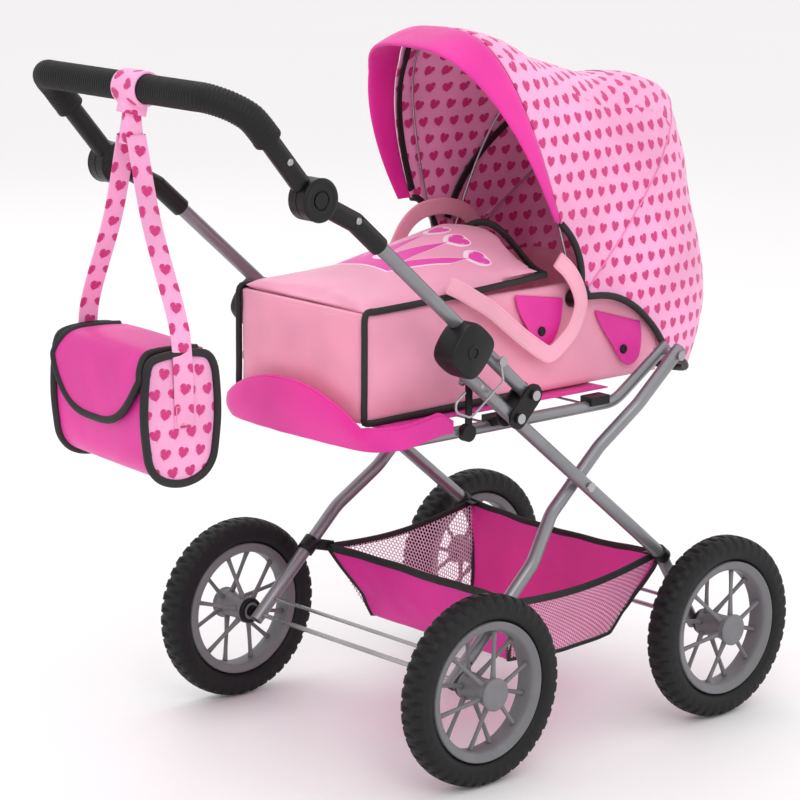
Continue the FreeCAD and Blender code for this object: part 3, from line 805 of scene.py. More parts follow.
class Simmer:
    """Cloth simulation of every padded piece at once."""

    def __init__(self) -> None:
        """Start with nothing to simulate."""
        self.jobs: list[tuple[bpy.types.Object, float]] = []

    def add(self, obj: bpy.types.Object, voxel: float, pressure: float, cap: float) -> None:
        """Remesh a closed form into even cells and queue it.

        Args:
            obj: the closed form.
            voxel: size of a cell, in metres.
            pressure: how hard it is blown up.
            cap: how far a point may move, in metres.
        """
        remesh = obj.modifiers.new("Cells", "REMESH")
        remesh.mode, remesh.voxel_size, remesh.use_smooth_shade = "VOXEL", voxel, True
        graph = bpy.context.evaluated_depsgraph_get()
        mesh = bpy.data.meshes.new_from_object(obj.evaluated_get(graph))
        obj.modifiers.clear()
        obj.data = mesh
        cloth = obj.modifiers.new("Cloth", "CLOTH")
        cloth.settings.quality = 5
        cloth.settings.use_pressure = True
        cloth.settings.uniform_pressure_force = pressure
        cloth.settings.effector_weights.gravity = 0.0
        cloth.point_cache.frame_start, cloth.point_cache.frame_end = 1, SIMMER_FRAMES
        self.jobs.append((obj, cap))

    def run(self) -> None:
        """Step the simulation, cap each point's travel and put the result in the mesh."""
        if not self.jobs:
            return
        scene = bpy.context.scene
        for number in range(1, SIMMER_FRAMES + 1):
            scene.frame_set(number)
        graph = bpy.context.evaluated_depsgraph_get()
        for obj, cap in self.jobs:
            start = np.zeros(len(obj.data.vertices) * 3, np.float32)
            obj.data.vertices.foreach_get("co", start)
            end = np.zeros_like(start)
            obj.evaluated_get(graph).data.vertices.foreach_get("co", end)
            move = (end - start).reshape(-1, 3)
            length = np.linalg.norm(move, axis=1, keepdims=True)
            move *= np.minimum(1.0, cap / np.maximum(length, TINY))
            obj.modifiers.clear()
            obj.data.vertices.foreach_set("co", (start.reshape(-1, 3) + move).ravel())
            obj.data.update()
        scene.frame_set(1)
        for obj, _ in self.jobs:
            extra = obj.modifiers.new("Smooth", "SUBSURF")
            extra.levels = extra.render_levels = 1


# ---------------------------------------------------------------------------------------- wheels
@dataclass
class Wheel:
    """One wheel: treaded tyre, dished rim with two crossing sets of spokes, and its cap."""

    end: str
    side: str
    radius: float = 95.0
    half_width: float = 15.0
    rim_radius: float = 69.6
    blocks: int = 44
    track: float = 188.0
    wheelbase: float = 335.0
    tread: float = 2.6
    lane: float = 5.4
    spokes: int = 6
    splay: float = 15.0
    centre: Array = field(init=False)
    out: int = field(init=False)

    def __post_init__(self) -> None:
        """Work out where the wheel's middle is."""
        self.out = SIDES[self.side]
        ahead = self.wheelbase if self.end == "front" else 0.0
        self.centre = np.array([ahead, self.out * self.track, self.radius])

    def piece(self, part: str, look: str, *hides: str) -> Piece:
        """A piece of this wheel."""
        tag = f"{self.end}_{self.side}"
        return Piece(f"{part}_{tag}", f"wheel_{tag}", look, [f"{h}_{tag}" for h in hides])

    def tyre(self) -> None:
        """Tyre: a superellipse section turned about the axle, less the tread's grooves.

        The section is (15 |cos a|^0.7, 82.3 + 12.7 |sin a|^0.7). Grooves run round the tyre
        beside the middle row of blocks and across it between blocks, the middle row half a
        pitch on from the shoulder rows.
        """
        turn = full_turn(self.blocks * 10)[:, None]
        a = full_turn(40)[None]
        c, s = np.cos(a), np.sin(a)
        middle = (self.radius + self.rim_radius) / 2
        depth = self.radius - middle
        y = self.half_width * bowed(c, 0.7)
        r = middle + depth * bowed(s, 0.7)
        across = np.abs(y)
        crown = np.clip((s - 0.25) / 0.2, 0, 1)
        outer_row = across > self.lane
        phase = (turn * self.blocks / (2 * math.pi) + np.where(outer_row, 0.0, 0.5)) % 1.0
        gap = np.clip((0.16 - np.abs(phase - 0.5)) / 0.05, 0, 1)
        lane = np.clip((1.2 - np.abs(across - self.lane)) / 0.6, 0, 1)
        groove = np.maximum(gap, lane) * crown * np.where(across > 13.6, 0.5, 1.0)
        scallop = np.clip((s + 0.1) / 0.3, 0, 1) * np.clip((0.45 - s) / 0.3, 0, 1)
        r = r - self.tread * groove
        y = y * (1 - 0.05 * scallop * (np.abs(phase - 0.5) < 0.3))
        y = y + 0 * turn
        ring = np.stack([np.sin(turn) * r, y, np.cos(turn) * r], -1)
        self.piece("tread_tyre", "tyre_rubber", "tyre").grid(
            ring + self.centre, around=True, closed=True).build().settle()

    def rim(self) -> None:
        """Dished rim, hub with flanges, cap and twelve spokes thicker at both ends."""
        axis = (0, self.out, 0)
        rim = self.piece("spoked_rim", "rim_plastic", "rim", "hub_fittings")
        lip = smooth([(-11.5, 69.4), (-12, 62), (-9, 60.2), (0, 59.4), (7, 59.8), (10.5, 62.0),
                      (12.0, 66.0), (13.2, 68.4), (12.2, 69.9), (8, 69.8), (-8, 69.8)], 44, True)
        rim.turned(np.vstack([lip, lip[:1]]), self.centre, axis, 96)
        hub = [(-23.2, 0.2), (-23.2, 9.5), (-21.6, 11), (-20, 12.5), (-19, 14), (-16, 14.4),
               (-12, 12.6), (0, 12.2), (10, 12.6), (14, 14.4), (17.5, 14.6), (19.4, 15.4),
               (20.6, 16.4), (21.8, 16.3), (22.6, 14.6), (22.8, 9.0), (22.3, 8.2), (22.3, 0.2)]
        rim.turned(spaced(hub, 64), self.centre, axis, 40)
        for row in (-1, 1):
            for k in range(self.spokes):
                angle = math.radians(360 / self.spokes * k + self.splay * row)
                ray = np.array([math.sin(angle), 0, math.cos(angle)])
                lean = np.array([0, self.out, 0])
                start = self.centre + ray * 11.5 + lean * row * 14
                end = self.centre + ray * 61.0 + lean * 2.0 * row
                t = np.linspace(0, 1, 12)[:, None]
                flare = 2.0 + 1.3 * (1 - t) ** 4 + 1.1 * t ** 6
                rim.tube(start + (end - start) * t, circle(1.0, 10), lean, flare)
        rim.build().settle()
        bush = self.piece("bush", "black_plastic")
        cup = [(-23.4, 9.4), (-23.4, 12.4), (-20.4, 13.4), (-19.6, 13.2)]
        bush.turned(spaced(cup, 12), self.centre, axis, 32)
        bush.build().finishings(0.8).settle()


# ---------------------------------------------------------------------------------------- handle
@dataclass
class Handle:
    """Ribbed grip, joint covers, rivets and the sliding locks."""

    arm: float = 150.0
    knuckle: tuple = (-181.0, 586.0)
    rise: tuple = (-0.65, 0.76)
    up_tube: tuple = (-0.757, 0.654)
    grip_radius: float = 13.3
    grip_rib: float = 0.35
    grip_pitch: float = 3.4
    lock: tuple = (3.5, 155.0, 424.5)

    def grip(self) -> None:
        """Foam grip: radius 13.3 + 0.35 sin(2 pi s / 3.4) along the bar."""
        kx, kz = self.knuckle
        half = [(kx + self.rise[0] * s, self.arm, kz + self.rise[1] * s) for s in (76.6, 90)]
        half += [(-250, 147.5, 665.5), (-264, 138, 675), (-276, 122, 681), (-280, 104, 682)]
        half += [(-280, 60, 682)]
        points = half + [(-280, 0, 682)] + [(x, -y, z) for x, y, z in half[::-1]]
        path = smooth(points, 480)
        step = np.linalg.norm(np.diff(path, axis=0), axis=1).mean()
        along = np.arange(len(path)) * step
        end = np.minimum(along, along[-1] - along)
        radius = self.grip_radius + self.grip_rib * np.sin(2 * math.pi * along / self.grip_pitch)
        radius = np.where(end < 4, self.grip_radius + 0.4, radius)[:, None]
        Piece("ribbed_grip", "handlebar", "grip_foam", ["handle_grip"]).tube(
            path, circle(1.0, 24), (0.76, 0.0, 0.65), radius).build().settle()

    def joints(self) -> None:
        """Raised rings and ribs on the joint discs, and rivet heads in the sleeves."""
        kx, kz = self.knuckle
        for name, side in SIDES.items():
            out = (0, side, 0)
            ring = Piece(f"joint_ring_{name}", "handle_lower", "black_plastic")
            outline = smooth([(13.6, 19.9), (15.0, 19.2), (15.6, 17), (15.2, 13), (15.4, 10),
                              (14.6, 9.0), (13.6, 9.6)], 30, True)
            ring.turned(np.vstack([outline, outline[:1]]), (kx, side * self.arm, kz), out, 48)
            ring.build().settle()
            flank = Piece(f"joint_flank_{name}", "handlebar", "black_plastic")
            disc = [(-8.0, 19.4), (-9.3, 18.4), (-9.3, 6), (-10.2, 5), (-10.2, 0.2)]
            flank.turned(spaced(disc, 20), (kx, side * self.arm, kz), out, 40)
            flank.build().settle()
            for body, (x, z) in (("handle_lower", (-131.7, 561.6)),
                                 ("handlebar", (-212.5, 622.8))):
                head = Piece(f"rivet_{body}_{name}", body, "bright_steel")
                dome = [(9.0, 3.4), (9.9, 3.3), (10.7, 2.4), (11.1, 1.2), (11.2, 0.1)]
                head.turned(smooth(dome, 12), (x, side * self.arm, z), out, 20)
                head.build().settle()

    def slide(self, name: str, side: int) -> None:
        """Sliding lock: a soft hexagon of size 0.8 + 0.2 (1 - |t|^7)^(1/5) between its faces.

        Args:
            name: left or right.
            side: 1 for left, -1 for right.
        """
        along = np.array([self.up_tube[0], 0, self.up_tube[1]])
        out = np.array([along[2], 0, -along[0]])
        corners = smooth([(-24, -13), (-15, -25), (12, -26), (23, -15), (24, 11), (14, 25.5),
                          (-15, 26), (-24, 14)], 72, True)[:-1]
        t = np.sin(np.linspace(-math.pi / 2, math.pi / 2, 25))
        size = np.maximum((1 - np.abs(t) ** 7), 0) ** (1 / 5)
        size = np.where(size > 0, 0.8 + 0.2 * size, 0.8)
        size[0] = size[-1] = 0.0
        x, outward, z = self.lock
        middle = np.array([x, side * outward, z])
        grid = (middle + np.array([0, side, 0]) * (t * 14.5)[:, None, None]
                + (along * corners[None, :, :1] + out * corners[None, :, 1:])
                * 0.93 * size[:, None, None])
        lock = Piece(f"slide_lock_{name}", f"lock_{name}", "black_plastic", [f"slider_{name}"])
        lock.grid(grid, around=True)
        emblem = smooth([(13.8, 7.4), (15.2, 7.0), (15.6, 6.0), (15.1, 5.0), (13.8, 4.8)], 16)
        lock.turned(emblem, (x, side * outward, z - 1.5), (0, side, 0), 24)
        for rib in (-12.0, 12.0):
            centre = middle + out * rib * 1.4
            line = centre + along * np.linspace(-10, 10, 9)[:, None] + np.array([0, side * 11, 0])
            lock.tube(line, circle(1.6, 8), (0, 1, 0))
        lock.build().settle()

    def build(self) -> None:
        """Make every piece of the handle."""
        self.grip()
        self.joints()
        for name, side in SIDES.items():
            self.slide(name, side)


# ------------------------------------------------------------------------------------------ tray
@dataclass
class Tray:
    """Cloth across the tray's rail and the lip that stands up behind the carrycot."""

    half: float = 112.0
    rear: float = -56.0
    front: float = 243.0
    height: float = 347.4

    def build(self) -> None:
        """Make the tray's cloth and its lip."""
        x, y = np.meshgrid(np.linspace(self.rear, self.front, 40),
                           np.linspace(-self.half, self.half, 28), indexing="ij")
        sag = 2.6 * (1 - (y / self.half) ** 2) * np.sin(np.pi * (x - self.rear)
                                                       / (self.front - self.rear))
        z = self.height - sag + 0.4 * np.sin(x / 17) * np.cos(y / 23)
        cloth = Piece("tray_cloth", "tray", "magenta_cloth", ["tray_sheet"])
        cloth.grid(np.stack([x, y, z], -1)).build()
        cloth.settle()
        cloth.finishings(1.2)
        plan = smooth([(14, -128.5), (-20, -129), (-50, -127), (-69, -118), (-78, -98),
                       (-82, -50), (-83.5, 0), (-82, 50), (-78, 84), (-72, 100), (-58, 113),
                       (-30, 122), (0, 127)], 120)
        share = np.clip(np.abs(plan[:, 1]) / 104, 0, 1)
        rear = np.clip((-40 - plan[:, 0]) / 30, 0, 1)
        tall = 9 + rear * (9 + 36 * (1 - share ** 2.2))
        near = np.clip((-plan[:, 1] - 70) / 40, 0, 1) * np.clip((16 - plan[:, 0]) / 20, 0, 1)
        tall = np.maximum(tall, 9 + 12 * near)
        v = np.linspace(0, 1, 16)[None]
        out = unit(np.stack([plan[:, 0] - 80, plan[:, 1] * 0.4], 1))
        bulge = (np.sin(np.pi * v * 0.9) * 5.0 + 3.0 * v ** 3) * rear[:, None]
        low = 328.5 + 1.0 * share ** 3 + 7.0 * np.clip((plan[:, 0] + 50) / 50, 0, 1)
        grid = np.stack([plan[:, :1] + out[:, :1] * bulge, plan[:, 1:] + out[:, 1:] * bulge,
                         low[:, None] + v * tall[:, None]], -1)
        grid[..., 2] += 0.6 * ripple(grid, 45, 5)
        lip = Piece("foot_lip", "tray", "magenta_cloth", ["foot_flap"])
        lip.grid(grid).build().finishings(3.4, 1, 1.0)
        lip.settle()
        hem = Piece("foot_lip_hem", "tray", "magenta_cloth")
        hem.tube(grid[:, -1] + np.array([0, 0, 0.3]), circle(2.1, 10), (0, 0, 1))
        hem.build().settle()


# -------------------------------------------------------------------------------------- carrycot
@dataclass
class Carrycot:
    """Soft tub, padded apron with its print, bindings, carry handles and snap flaps."""

    rear: float = -70.0
    front: float = 336.0
    half: float = 94.0
    floor: float = 350.0
    top: float = 457.0
    apron_front: float = 165.0
    wall: float = 5.0
    crest: float = 38.0
    climb: float = 10.5

    def ring(self, inset: float, count: int = 220) -> Array:
        """Plan outline: a rectangle with rounded corners, at an inset from the tub's outline.

        Args:
            inset: how far inside.
            count: points round it.

        Returns:
            The outline.
        """
        a, b = (self.front - self.rear) / 2 - inset, self.half - inset
        r = 8.0 - inset
        arcs = []
        for quarter, (sx, sy) in enumerate(((1, 1), (-1, 1), (-1, -1), (1, -1))):
            turn = np.radians(np.linspace(90 * quarter, 90 * quarter + 90, 9))
            arcs.append(np.c_[sx * (a - r) + r * np.cos(turn), sy * (b - r) + r * np.sin(turn)])
        fine = np.vstack(arcs + [arcs[0][:1]]) + np.array([(self.front + self.rear) / 2, 0])
        return spaced(fine, count + 1)[:-1]

    def tub(self) -> None:
        """Outer and inner wall and both floors as one closed surface.

        The wall swells outwards as sin(pi h)^0.8 of its height and is pulled in at its seams.
        """
        centre = np.array([(self.front + self.rear) / 2, 0.0])
        outer, inner = self.ring(0), self.ring(self.wall)
        rows = []
        for share, z in ((0.0, self.floor + 1.2), (0.5, self.floor + 0.8), (0.96, self.floor)):
            rows.append(np.c_[centre + (outer - centre) * share, np.full(len(outer), z)])
        for h in np.linspace(0, 1, 18):
            face = np.abs(outer[:, 1]) > self.half - 3
            swell = np.sin(math.pi * h) ** 0.8
            length = np.clip((outer[:, 0] - self.rear) / (self.front - self.rear), 0, 1)
            even = 1 - np.clip(np.abs(outer[:, 1]) / self.half, 0, 1) ** 4
            lift = 2.4 * swell * np.where(face, np.sin(math.pi * length) ** 0.4, even)
            push = np.where(face[:, None], np.c_[np.zeros(len(outer)), np.sign(outer[:, 1])],
                            np.c_[np.sign(outer[:, 0] - centre[0]), np.zeros(len(outer))])
            point = np.c_[outer + push * lift[:, None],
                          np.full(len(outer), self.floor + 1 + h * (self.top - self.floor - 2))]
            crease = (ripple(point, 55, 3) * 2.6 + ripple(point, 21, 4) * 1.1) * swell
            point[:, :2] += push * crease[:, None]
            rows.append(point)
        for z in np.linspace(self.top, self.floor + 7, 10):
            rows.append(np.c_[inner, np.full(len(inner), z)])
        for share in (0.9, 0.5, 0.0):
            rows.append(np.c_[centre + (inner - centre) * share,
                              np.full(len(inner), self.floor + 5.6)])
        Piece("cot_tub", "carrycot", "pale_cloth", ["cot_body"]).grid(
            np.array(rows), around=True).build().settle()

    def rise(self, x: Array) -> Array:
        """Height of the apron's edge: it climbs smoothly towards its front."""
        t = np.clip((x - self.rear) / (self.apron_front - self.rear), 0, 1)
        return self.top + 3.0 + self.climb * t ** 1.6

    def arch(self, x: Array, v: Array) -> Array:
        """How far the apron stands above its edges: 38 cos^2(pi v / 2) at its front."""
        t = np.clip((x - self.rear) / (self.apron_front - self.rear), 0, 1.05)
        return self.crest * t ** 1.5 * np.cos(math.pi / 2 * np.clip(v, -1, 1)) ** 2

    def apron(self, simmer: Simmer) -> None:
        """Padded cover: a slab crowned as (1 - |u|^3)(1 - |v|^3), then blown up as cloth.

        Args:
            simmer: the simulation it joins.
        """
        u, v = np.meshgrid(np.linspace(-1, 1, 60), np.linspace(-1, 1, 46), indexing="ij")
        middle = (self.apron_front + self.rear) / 2
        reach = (self.apron_front - self.rear) / 2
        x = middle + reach * u
        round_front = np.clip(u, 0, 1) ** 6 * 7.0 * (1 - v ** 2)
        x = x + round_front
        y = v * (self.half + 0.5)
        crown = (1 - np.abs(u) ** 3) * (1 - np.abs(v) ** 3)
        edge = self.rise(x)
        dome = 5.0 + 9.0 * np.clip(x / 150, 0, 1)
        lift = self.arch(x, v)
        flat = np.stack([x, y, 0 * x], -1)
        top = edge + lift + dome * crown + (1.6 * ripple(flat, 70, 8)
                                            + 0.8 * ripple(flat, 30, 9)) * crown
        low = edge + lift * 0.94 - 4.0 - 2.0 * crown
        above, below = np.stack([x, y, top], -1), np.stack([x, y, low], -1)
        cover = Piece("apron", "carrycot", "apron_cloth", ["cot_apron"])
        cover.grid(above).grid(below, flip=True)
        for edge_points in (np.s_[0], np.s_[-1]):
            cover.grid(np.stack([below[edge_points], above[edge_points]]))
        for column in (0, -1):
            cover.grid(np.stack([below[:, column], above[:, column]]))
        cover.build()
        obj = cover.settle()
        simmer.add(obj, 0.0045, 4.0, 0.006)

    def bindings(self) -> None:
        """Black bindings round each side panel's outline, and a black strip along the apron's
        front that is painted shadow under its edge.
        """
        profile = band(7.2, 3.6, 16, 0.6)
        x = np.linspace(self.apron_front + 4, self.rear + 4, 24)
        side = self.half + 1.3
        for name, sign in (("right", -1), ("left", 1)):
            top = np.stack([x, np.full(24, sign * side), self.rise(x) - 1.0], 1)
            down = [(self.rear + 0.5, sign * (side + 0.3), z) for z in (452, 430, 405, 380, 360)]
            along = [(self.rear + 5, sign * side, self.floor + 1.5),
                     (-20, sign * (side + 0.6), self.floor + 1.5),
                     (60, sign * (side + 0.8), self.floor + 2.5),
                     (140, sign * (side + 0.6), self.floor + 3)]
            path = smooth(np.vstack([top, down, along]), 170)
            Piece(f"cot_binding_{name}", "carrycot", "binding").tube(
                path, circle(3.5, 12, 0.8), (0, 1, 0)).build().settle()
        # Painted shadow: a black strip along the apron's front edge, where that edge falls into
        # shade, built as a binding tube with the binding finish.
        y = np.linspace(-self.half - 1, self.half + 1, 60)
        bow = 8.0 * (1 - (y / self.half) ** 2)
        rear_most = np.full(60, self.apron_front)
        front = np.stack([self.apron_front + 2.0 + bow, y, self.rise(rear_most)
                          + self.arch(rear_most + 6, y / (self.half + 1)) - 0.5], 1)
        Piece("apron_front_painted_shadow", "carrycot", "binding").tube(
            front, profile, (1, 0, 0)).build().settle()

    def handles(self) -> None:
        """Padded webbing loops with stitched edges."""
        hang = [(30, -104, 476), (43, -108.5, 469), (58, -110.2, 460), (82, -110.6, 445.5),
                (120, -110.8, 416.5), (150, -110.8, 396.5), (163, -110.6, 392),
                (178, -110.4, 400), (194, -110.2, 414),
                (204, -110, 436), (200, -109.8, 454), (188, -109.4, 472), (172, -108.8, 486)]
        arch = [(130, 89.5, 474), (145, 89.5, 497), (164, 89.5, 510), (188, 89.5, 514),
                (212, 89.5, 511), (234, 89.5, 501), (250, 89.5, 481)]
        for name, points in (("right", hang), ("left", arch)):
            path = smooth(points, 110)
            strap = Piece(f"webbing_loop_{name}", f"carry_{name}", "webbing",
                          [f"carry_handle_{name}"])
            strap.tube(path, band(17.5, 3.0, 28, 0.45), (0, 1, 0))
            run = unit(np.gradient(path, axis=0))
            across = np.cross(run, [0, 1, 0])
            for edge in (-6.6, 6.6):
                for face in (-1.35, 1.35):
                    line = path + across * edge + np.array([0, face, 0])
                    strap.tube(line, circle(0.35, 6), (0, 1, 0))
            strap.build().settle()

    def flaps(self) -> None:
        """Turned-down flaps with a press stud: they curl outwards towards their lower edge."""
        u, v = np.meshgrid(np.linspace(-1, 1, 22), np.linspace(0, 1, 18), indexing="ij")
        for name, sign in (("right", -1), ("left", 1)):
            for tag, x0, z0, lean in (("rear", 158, 449, 0.15), ("front", 270, 416, 0.5)):
                x = x0 + (33 - 14 * v ** 2) * u + lean * 20 * v
                z = z0 - 52 * v * (1 - 0.3 * u ** 2) - 12 * u * (0.3 + lean)
                y = sign * (self.half + 3.0 + 3.4 * v ** 1.5 + 1.6 * np.sin(u * 3) * v * (1 - v))
                flap = Piece(f"snap_flap_{tag}_{name}", "carrycot", "magenta_cloth",
                             ["snap_flaps"])
                flap.grid(np.stack([x, y, z], -1)).build().finishings(1.5, 1).settle()
                stud = Piece(f"press_stud_{tag}_{name}", "carrycot", "black_plastic")
                k = 0.68
                spot = (x0 + lean * 20 * k, sign * (self.half + 4.2 + 3.4 * k ** 1.5),
                        z0 - 52 * k)
                dome = [(-0.6, 4.9), (0.8, 4.8), (1.5, 4.0), (1.6, 2.6), (1.1, 1.6), (1.2, 0.1)]
                stud.turned(spaced(dome, 16), spot, (0, sign, 0), 24)
                stud.build().settle()

    def build(self, simmer: Simmer) -> None:
        """Make every piece of the carrycot.

        Args:
            simmer: the simulation that the apron joins.
        """
        self.tub()
        self.apron(simmer)
        self.bindings()
        self.handles()
        self.flaps()


# ------------------------------------------------------------------------------------------ hood
@dataclass
class Hood:
    """Cloth hood on three bows: a fan of superellipse arches about its side pivots.

    An arch at angle f above straight ahead is pivot + ray(f) L(f) |sin t|^(2/n(f)) with
    y = half sign(cos t) |cos t|^(2/n(f)), where L and n are smooth curves through a few values.
    """

    pivot: tuple = (205.0, 442.0)
    half: float = 106.6
    angles: tuple = (-27, -7, 14, 32, 42, 52, 68, 88, 100, 109, 118)
    reaches: tuple = (244, 254, 247, 271, 283, 266, 230, 238, 264, 284, 287)
    shapes: tuple = ((-27, 3.2), (10, 2.6), (40, 1.95), (80, 2.7), (109, 3.2), (126, 3.2))
    feet: tuple = ((-27, 148), (-25, 140), (-17.7, 105), (-2.5, 45), (4, 13), (78, 13),
                   (109, 84), (126, 100))
    front: float = 108.6
    rear: float = -27.0
    seam_plane: float = 109.0
    stretch: float = 0.235
    rear_seam: float = 41.2
    widest: float = 111.0

    def hub(self, lift: float = 0.0) -> Array:
        """The point between the side pivots, or so far above it."""
        return np.array([self.pivot[0], 0, self.pivot[1] + lift])

    def lip(self, t: Array) -> Array:
        """Angle of the front seam: it flares ahead towards the left foot."""
        return self.front + 6.0 * np.clip(1 - t / 0.26, 0, 1) ** 1.1

    def reach(self, angle: Array) -> Array:
        """Smooth radius of the hood at an angle."""
        curve = smooth(np.c_[self.angles, self.reaches], 400)
        return np.interp(angle, curve[:, 0], curve[:, 1])

    def arch(self, angle: Array, t: Array, inset: Union[float, Array] = 0.0) -> Array:
        """Points on the hood, whose t of 0 and 1 are its left and right feet.

        Args:
            angle: angle above straight ahead, in degrees.
            t: share of the way from foot to foot.
            inset: how far inside, in millimetres.

        Returns:
            The points.
        """
        power = 2 / np.interp(angle, *zip(*self.shapes))
        reach = self.reach(angle) - inset
        foot = np.interp(angle, *zip(*self.feet))
        first = np.arcsin(np.clip(foot / reach, 0, 1) ** (1 / power))
        turn = first + (math.pi - 2 * first) * t
        c, s = np.cos(turn), np.sin(turn)
        out = reach * np.abs(s) ** power
        y = (self.half - inset) * bowed(c, power)
        f = np.radians(angle)
        return np.stack([self.pivot[0] + np.cos(f) * out, y, self.pivot[1] + np.sin(f) * out], -1)

    def surface(self, angle: Array, t: Array, inset: float = 0.0) -> Array:
        """The cloth itself: arches eased in between bows, with soft ripples.

        The ease is sin^2 between the bows at 41, 72 and 107 degrees.

        Args:
            angle: angle above straight ahead, in degrees.
            t: share of the way from foot to foot.
            inset: how far inside, in millimetres.

        Returns:
            The points.
        """
        bows = np.interp(angle, (-27, 14, 41, 72, 107, 126), (0, 1, 2, 3, 4, 4.5))
        ease = 1.6 * np.sin(math.pi * bows) ** 2 * np.sin(math.pi * np.clip(t, 0, 1)) ** 0.5
        bare = self.arch(angle, t, inset + ease)
        soft = np.clip(np.minimum(t, 1 - t) * 14, 0, 1) * np.clip((109 - angle) / 8, 0, 1)
        out = unit(bare - self.hub())
        below = 40.6 - angle
        tuck = 1.7 * np.clip(below / 0.9, 0, 1) * np.clip(1.35 - below / 30, 0, 1)
        bare = bare - out * tuck[..., None]
        wave = 1.7 * ripple(bare, 80, 21) + 0.8 * ripple(bare, 33, 22)
        return bare - out * (1.0 + wave)[..., None] * soft[..., None]

    def blend(self, piece: Piece) -> None:
        """Bake a piece's placement into its mesh, hide the CAD nodes it stands for and report it;
        points at the hood's pivot and behind it are worked out but not used.

        Args:
            piece: the piece.
        """
        f = math.radians(self.seam_plane + 90.0)
        away = np.array([math.cos(f), 0, math.sin(f)])
        end = Frame.place(self.hub())
        start = end - away * self.stretch
        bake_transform(piece.obj)
        piece.register()

    def canopy(self) -> None:
        """Two side gores and a top panel: the print stands upright on each gore."""
        share = np.linspace(0, 1, 190)[:, None]
        cloth = Piece("hood_cloth", "carrycot", "heart_cloth", ["hood_canopy"])
        for low, high, count in ((0.0, 0.31, 46), (0.31, 0.69, 54), (0.69, 1.0, 46)):
            t = np.linspace(low, high, count)[None]
            angle = self.rear + (self.lip(t) - self.rear) * share
            grid = self.surface(angle, t + 0 * angle)
            if low == 0.31:
                over = np.cumsum(np.r_[0, np.linalg.norm(np.diff(grid[:, 27], axis=0), axis=1)])
                chart = np.stack([grid[..., 1], np.broadcast_to(over[:, None],
                                                                grid.shape[:2])], -1)
            else:
                chart = np.stack([grid[..., 0], grid[..., 2]], -1)
            cloth.grid(grid, chart=chart / 1000.0)
        cloth.build()
        cloth.finishings(1.3, 0, 0.0)
        self.blend(cloth)

    def seams(self) -> None:
        """Corded seam over the rear bow and the black binding round the lower edge."""
        t = np.linspace(0.0, 1.0, 140)
        line = self.surface(np.full(140, self.rear_seam), t, -0.9)
        seam = Piece("hood_seam_rear", "carrycot", "seam_cloth")
        seam.tube(line, circle(1.0, 8), (0.2, 0.0, 1.0)).build()
        self.blend(seam)
        down = np.linspace(self.front, self.rear, 60)
        left = self.surface(np.linspace(self.lip(np.zeros(1))[0], self.rear, 60), np.zeros(60))
        back = self.surface(np.full(60, self.rear), np.linspace(0, 1, 60))[1:-1]
        right = self.surface(down[::-1], np.ones(60))
        edge = spaced(np.vstack([left, back, right]), 320)
        hem = Piece("hood_hem", "carrycot", "binding")
        hem.tube(edge, circle(3.6, 10), (0.1, 0.97, 0.2))
        hem.build()
        self.blend(hem)
        inner = Piece("hood_inner_binding", "carrycot", "binding")
        path = self.arch(58 + 22 * (1 - np.sin(math.pi * t)) ** 1.2, 0.04 + 0.92 * t, 4.6)
        inner.tube(path, band(9.0, 2.2, 14, 0.6), unit(path - self.hub(38.0)))
        path = self.arch(self.lip(t) - 1.2, 0.01 + 0.98 * t, 2.6)
        inner.tube(path, band(8.5, 2.2, 14, 0.6), unit(path - self.hub()))
        inner.build()
        self.blend(inner)

    def visor(self) -> None:
        """Padded front band: its section is an oval from the front seam to a flared edge."""
        t = np.linspace(0.0, 1.0, 150)[:, None]
        s = full_turn(28)[None]
        width = 4.4 + 6.0 * np.sin(math.pi * t) ** 0.9 + 5.0 * np.clip(1 - t / 0.3, 0, 1) ** 1.5
        share = (1 + bowed(np.cos(s), 0.7)) / 2
        angle = self.lip(t) + 0.4 + width * share
        plump = 3.2 * np.sin(math.pi * np.clip(t, 0.02, 0.98)) ** 0.3
        lift = plump * bowed(np.sin(s), 0.8)
        flare = 4.0 * share ** 2 * np.sin(math.pi * t)
        grid = self.arch(angle, t + 0 * s, -(lift + flare))
        grid[..., 1] = np.clip(grid[..., 1], -self.widest, self.widest)
        soft = np.sin(math.pi * share)
        out = unit(grid - self.hub())
        grid = grid + out * (0.9 * ripple(grid, 38, 31) * soft)[..., None]
        first, last = (part.mean(1, keepdims=True) for part in (grid[:1], grid[-1:]))
        grid = np.concatenate([first + 0 * grid[:1], grid, last + 0 * grid[-1:]])
        band_ = Piece("hood_visor_pad", "hood_front", "magenta_cloth", ["hood_visor"])
        band_.grid(grid, around=True).build()
        band_.settle()

    def build(self) -> None:
        """Make every piece of the hood."""
        self.canopy()
        self.seams()
        self.visor()


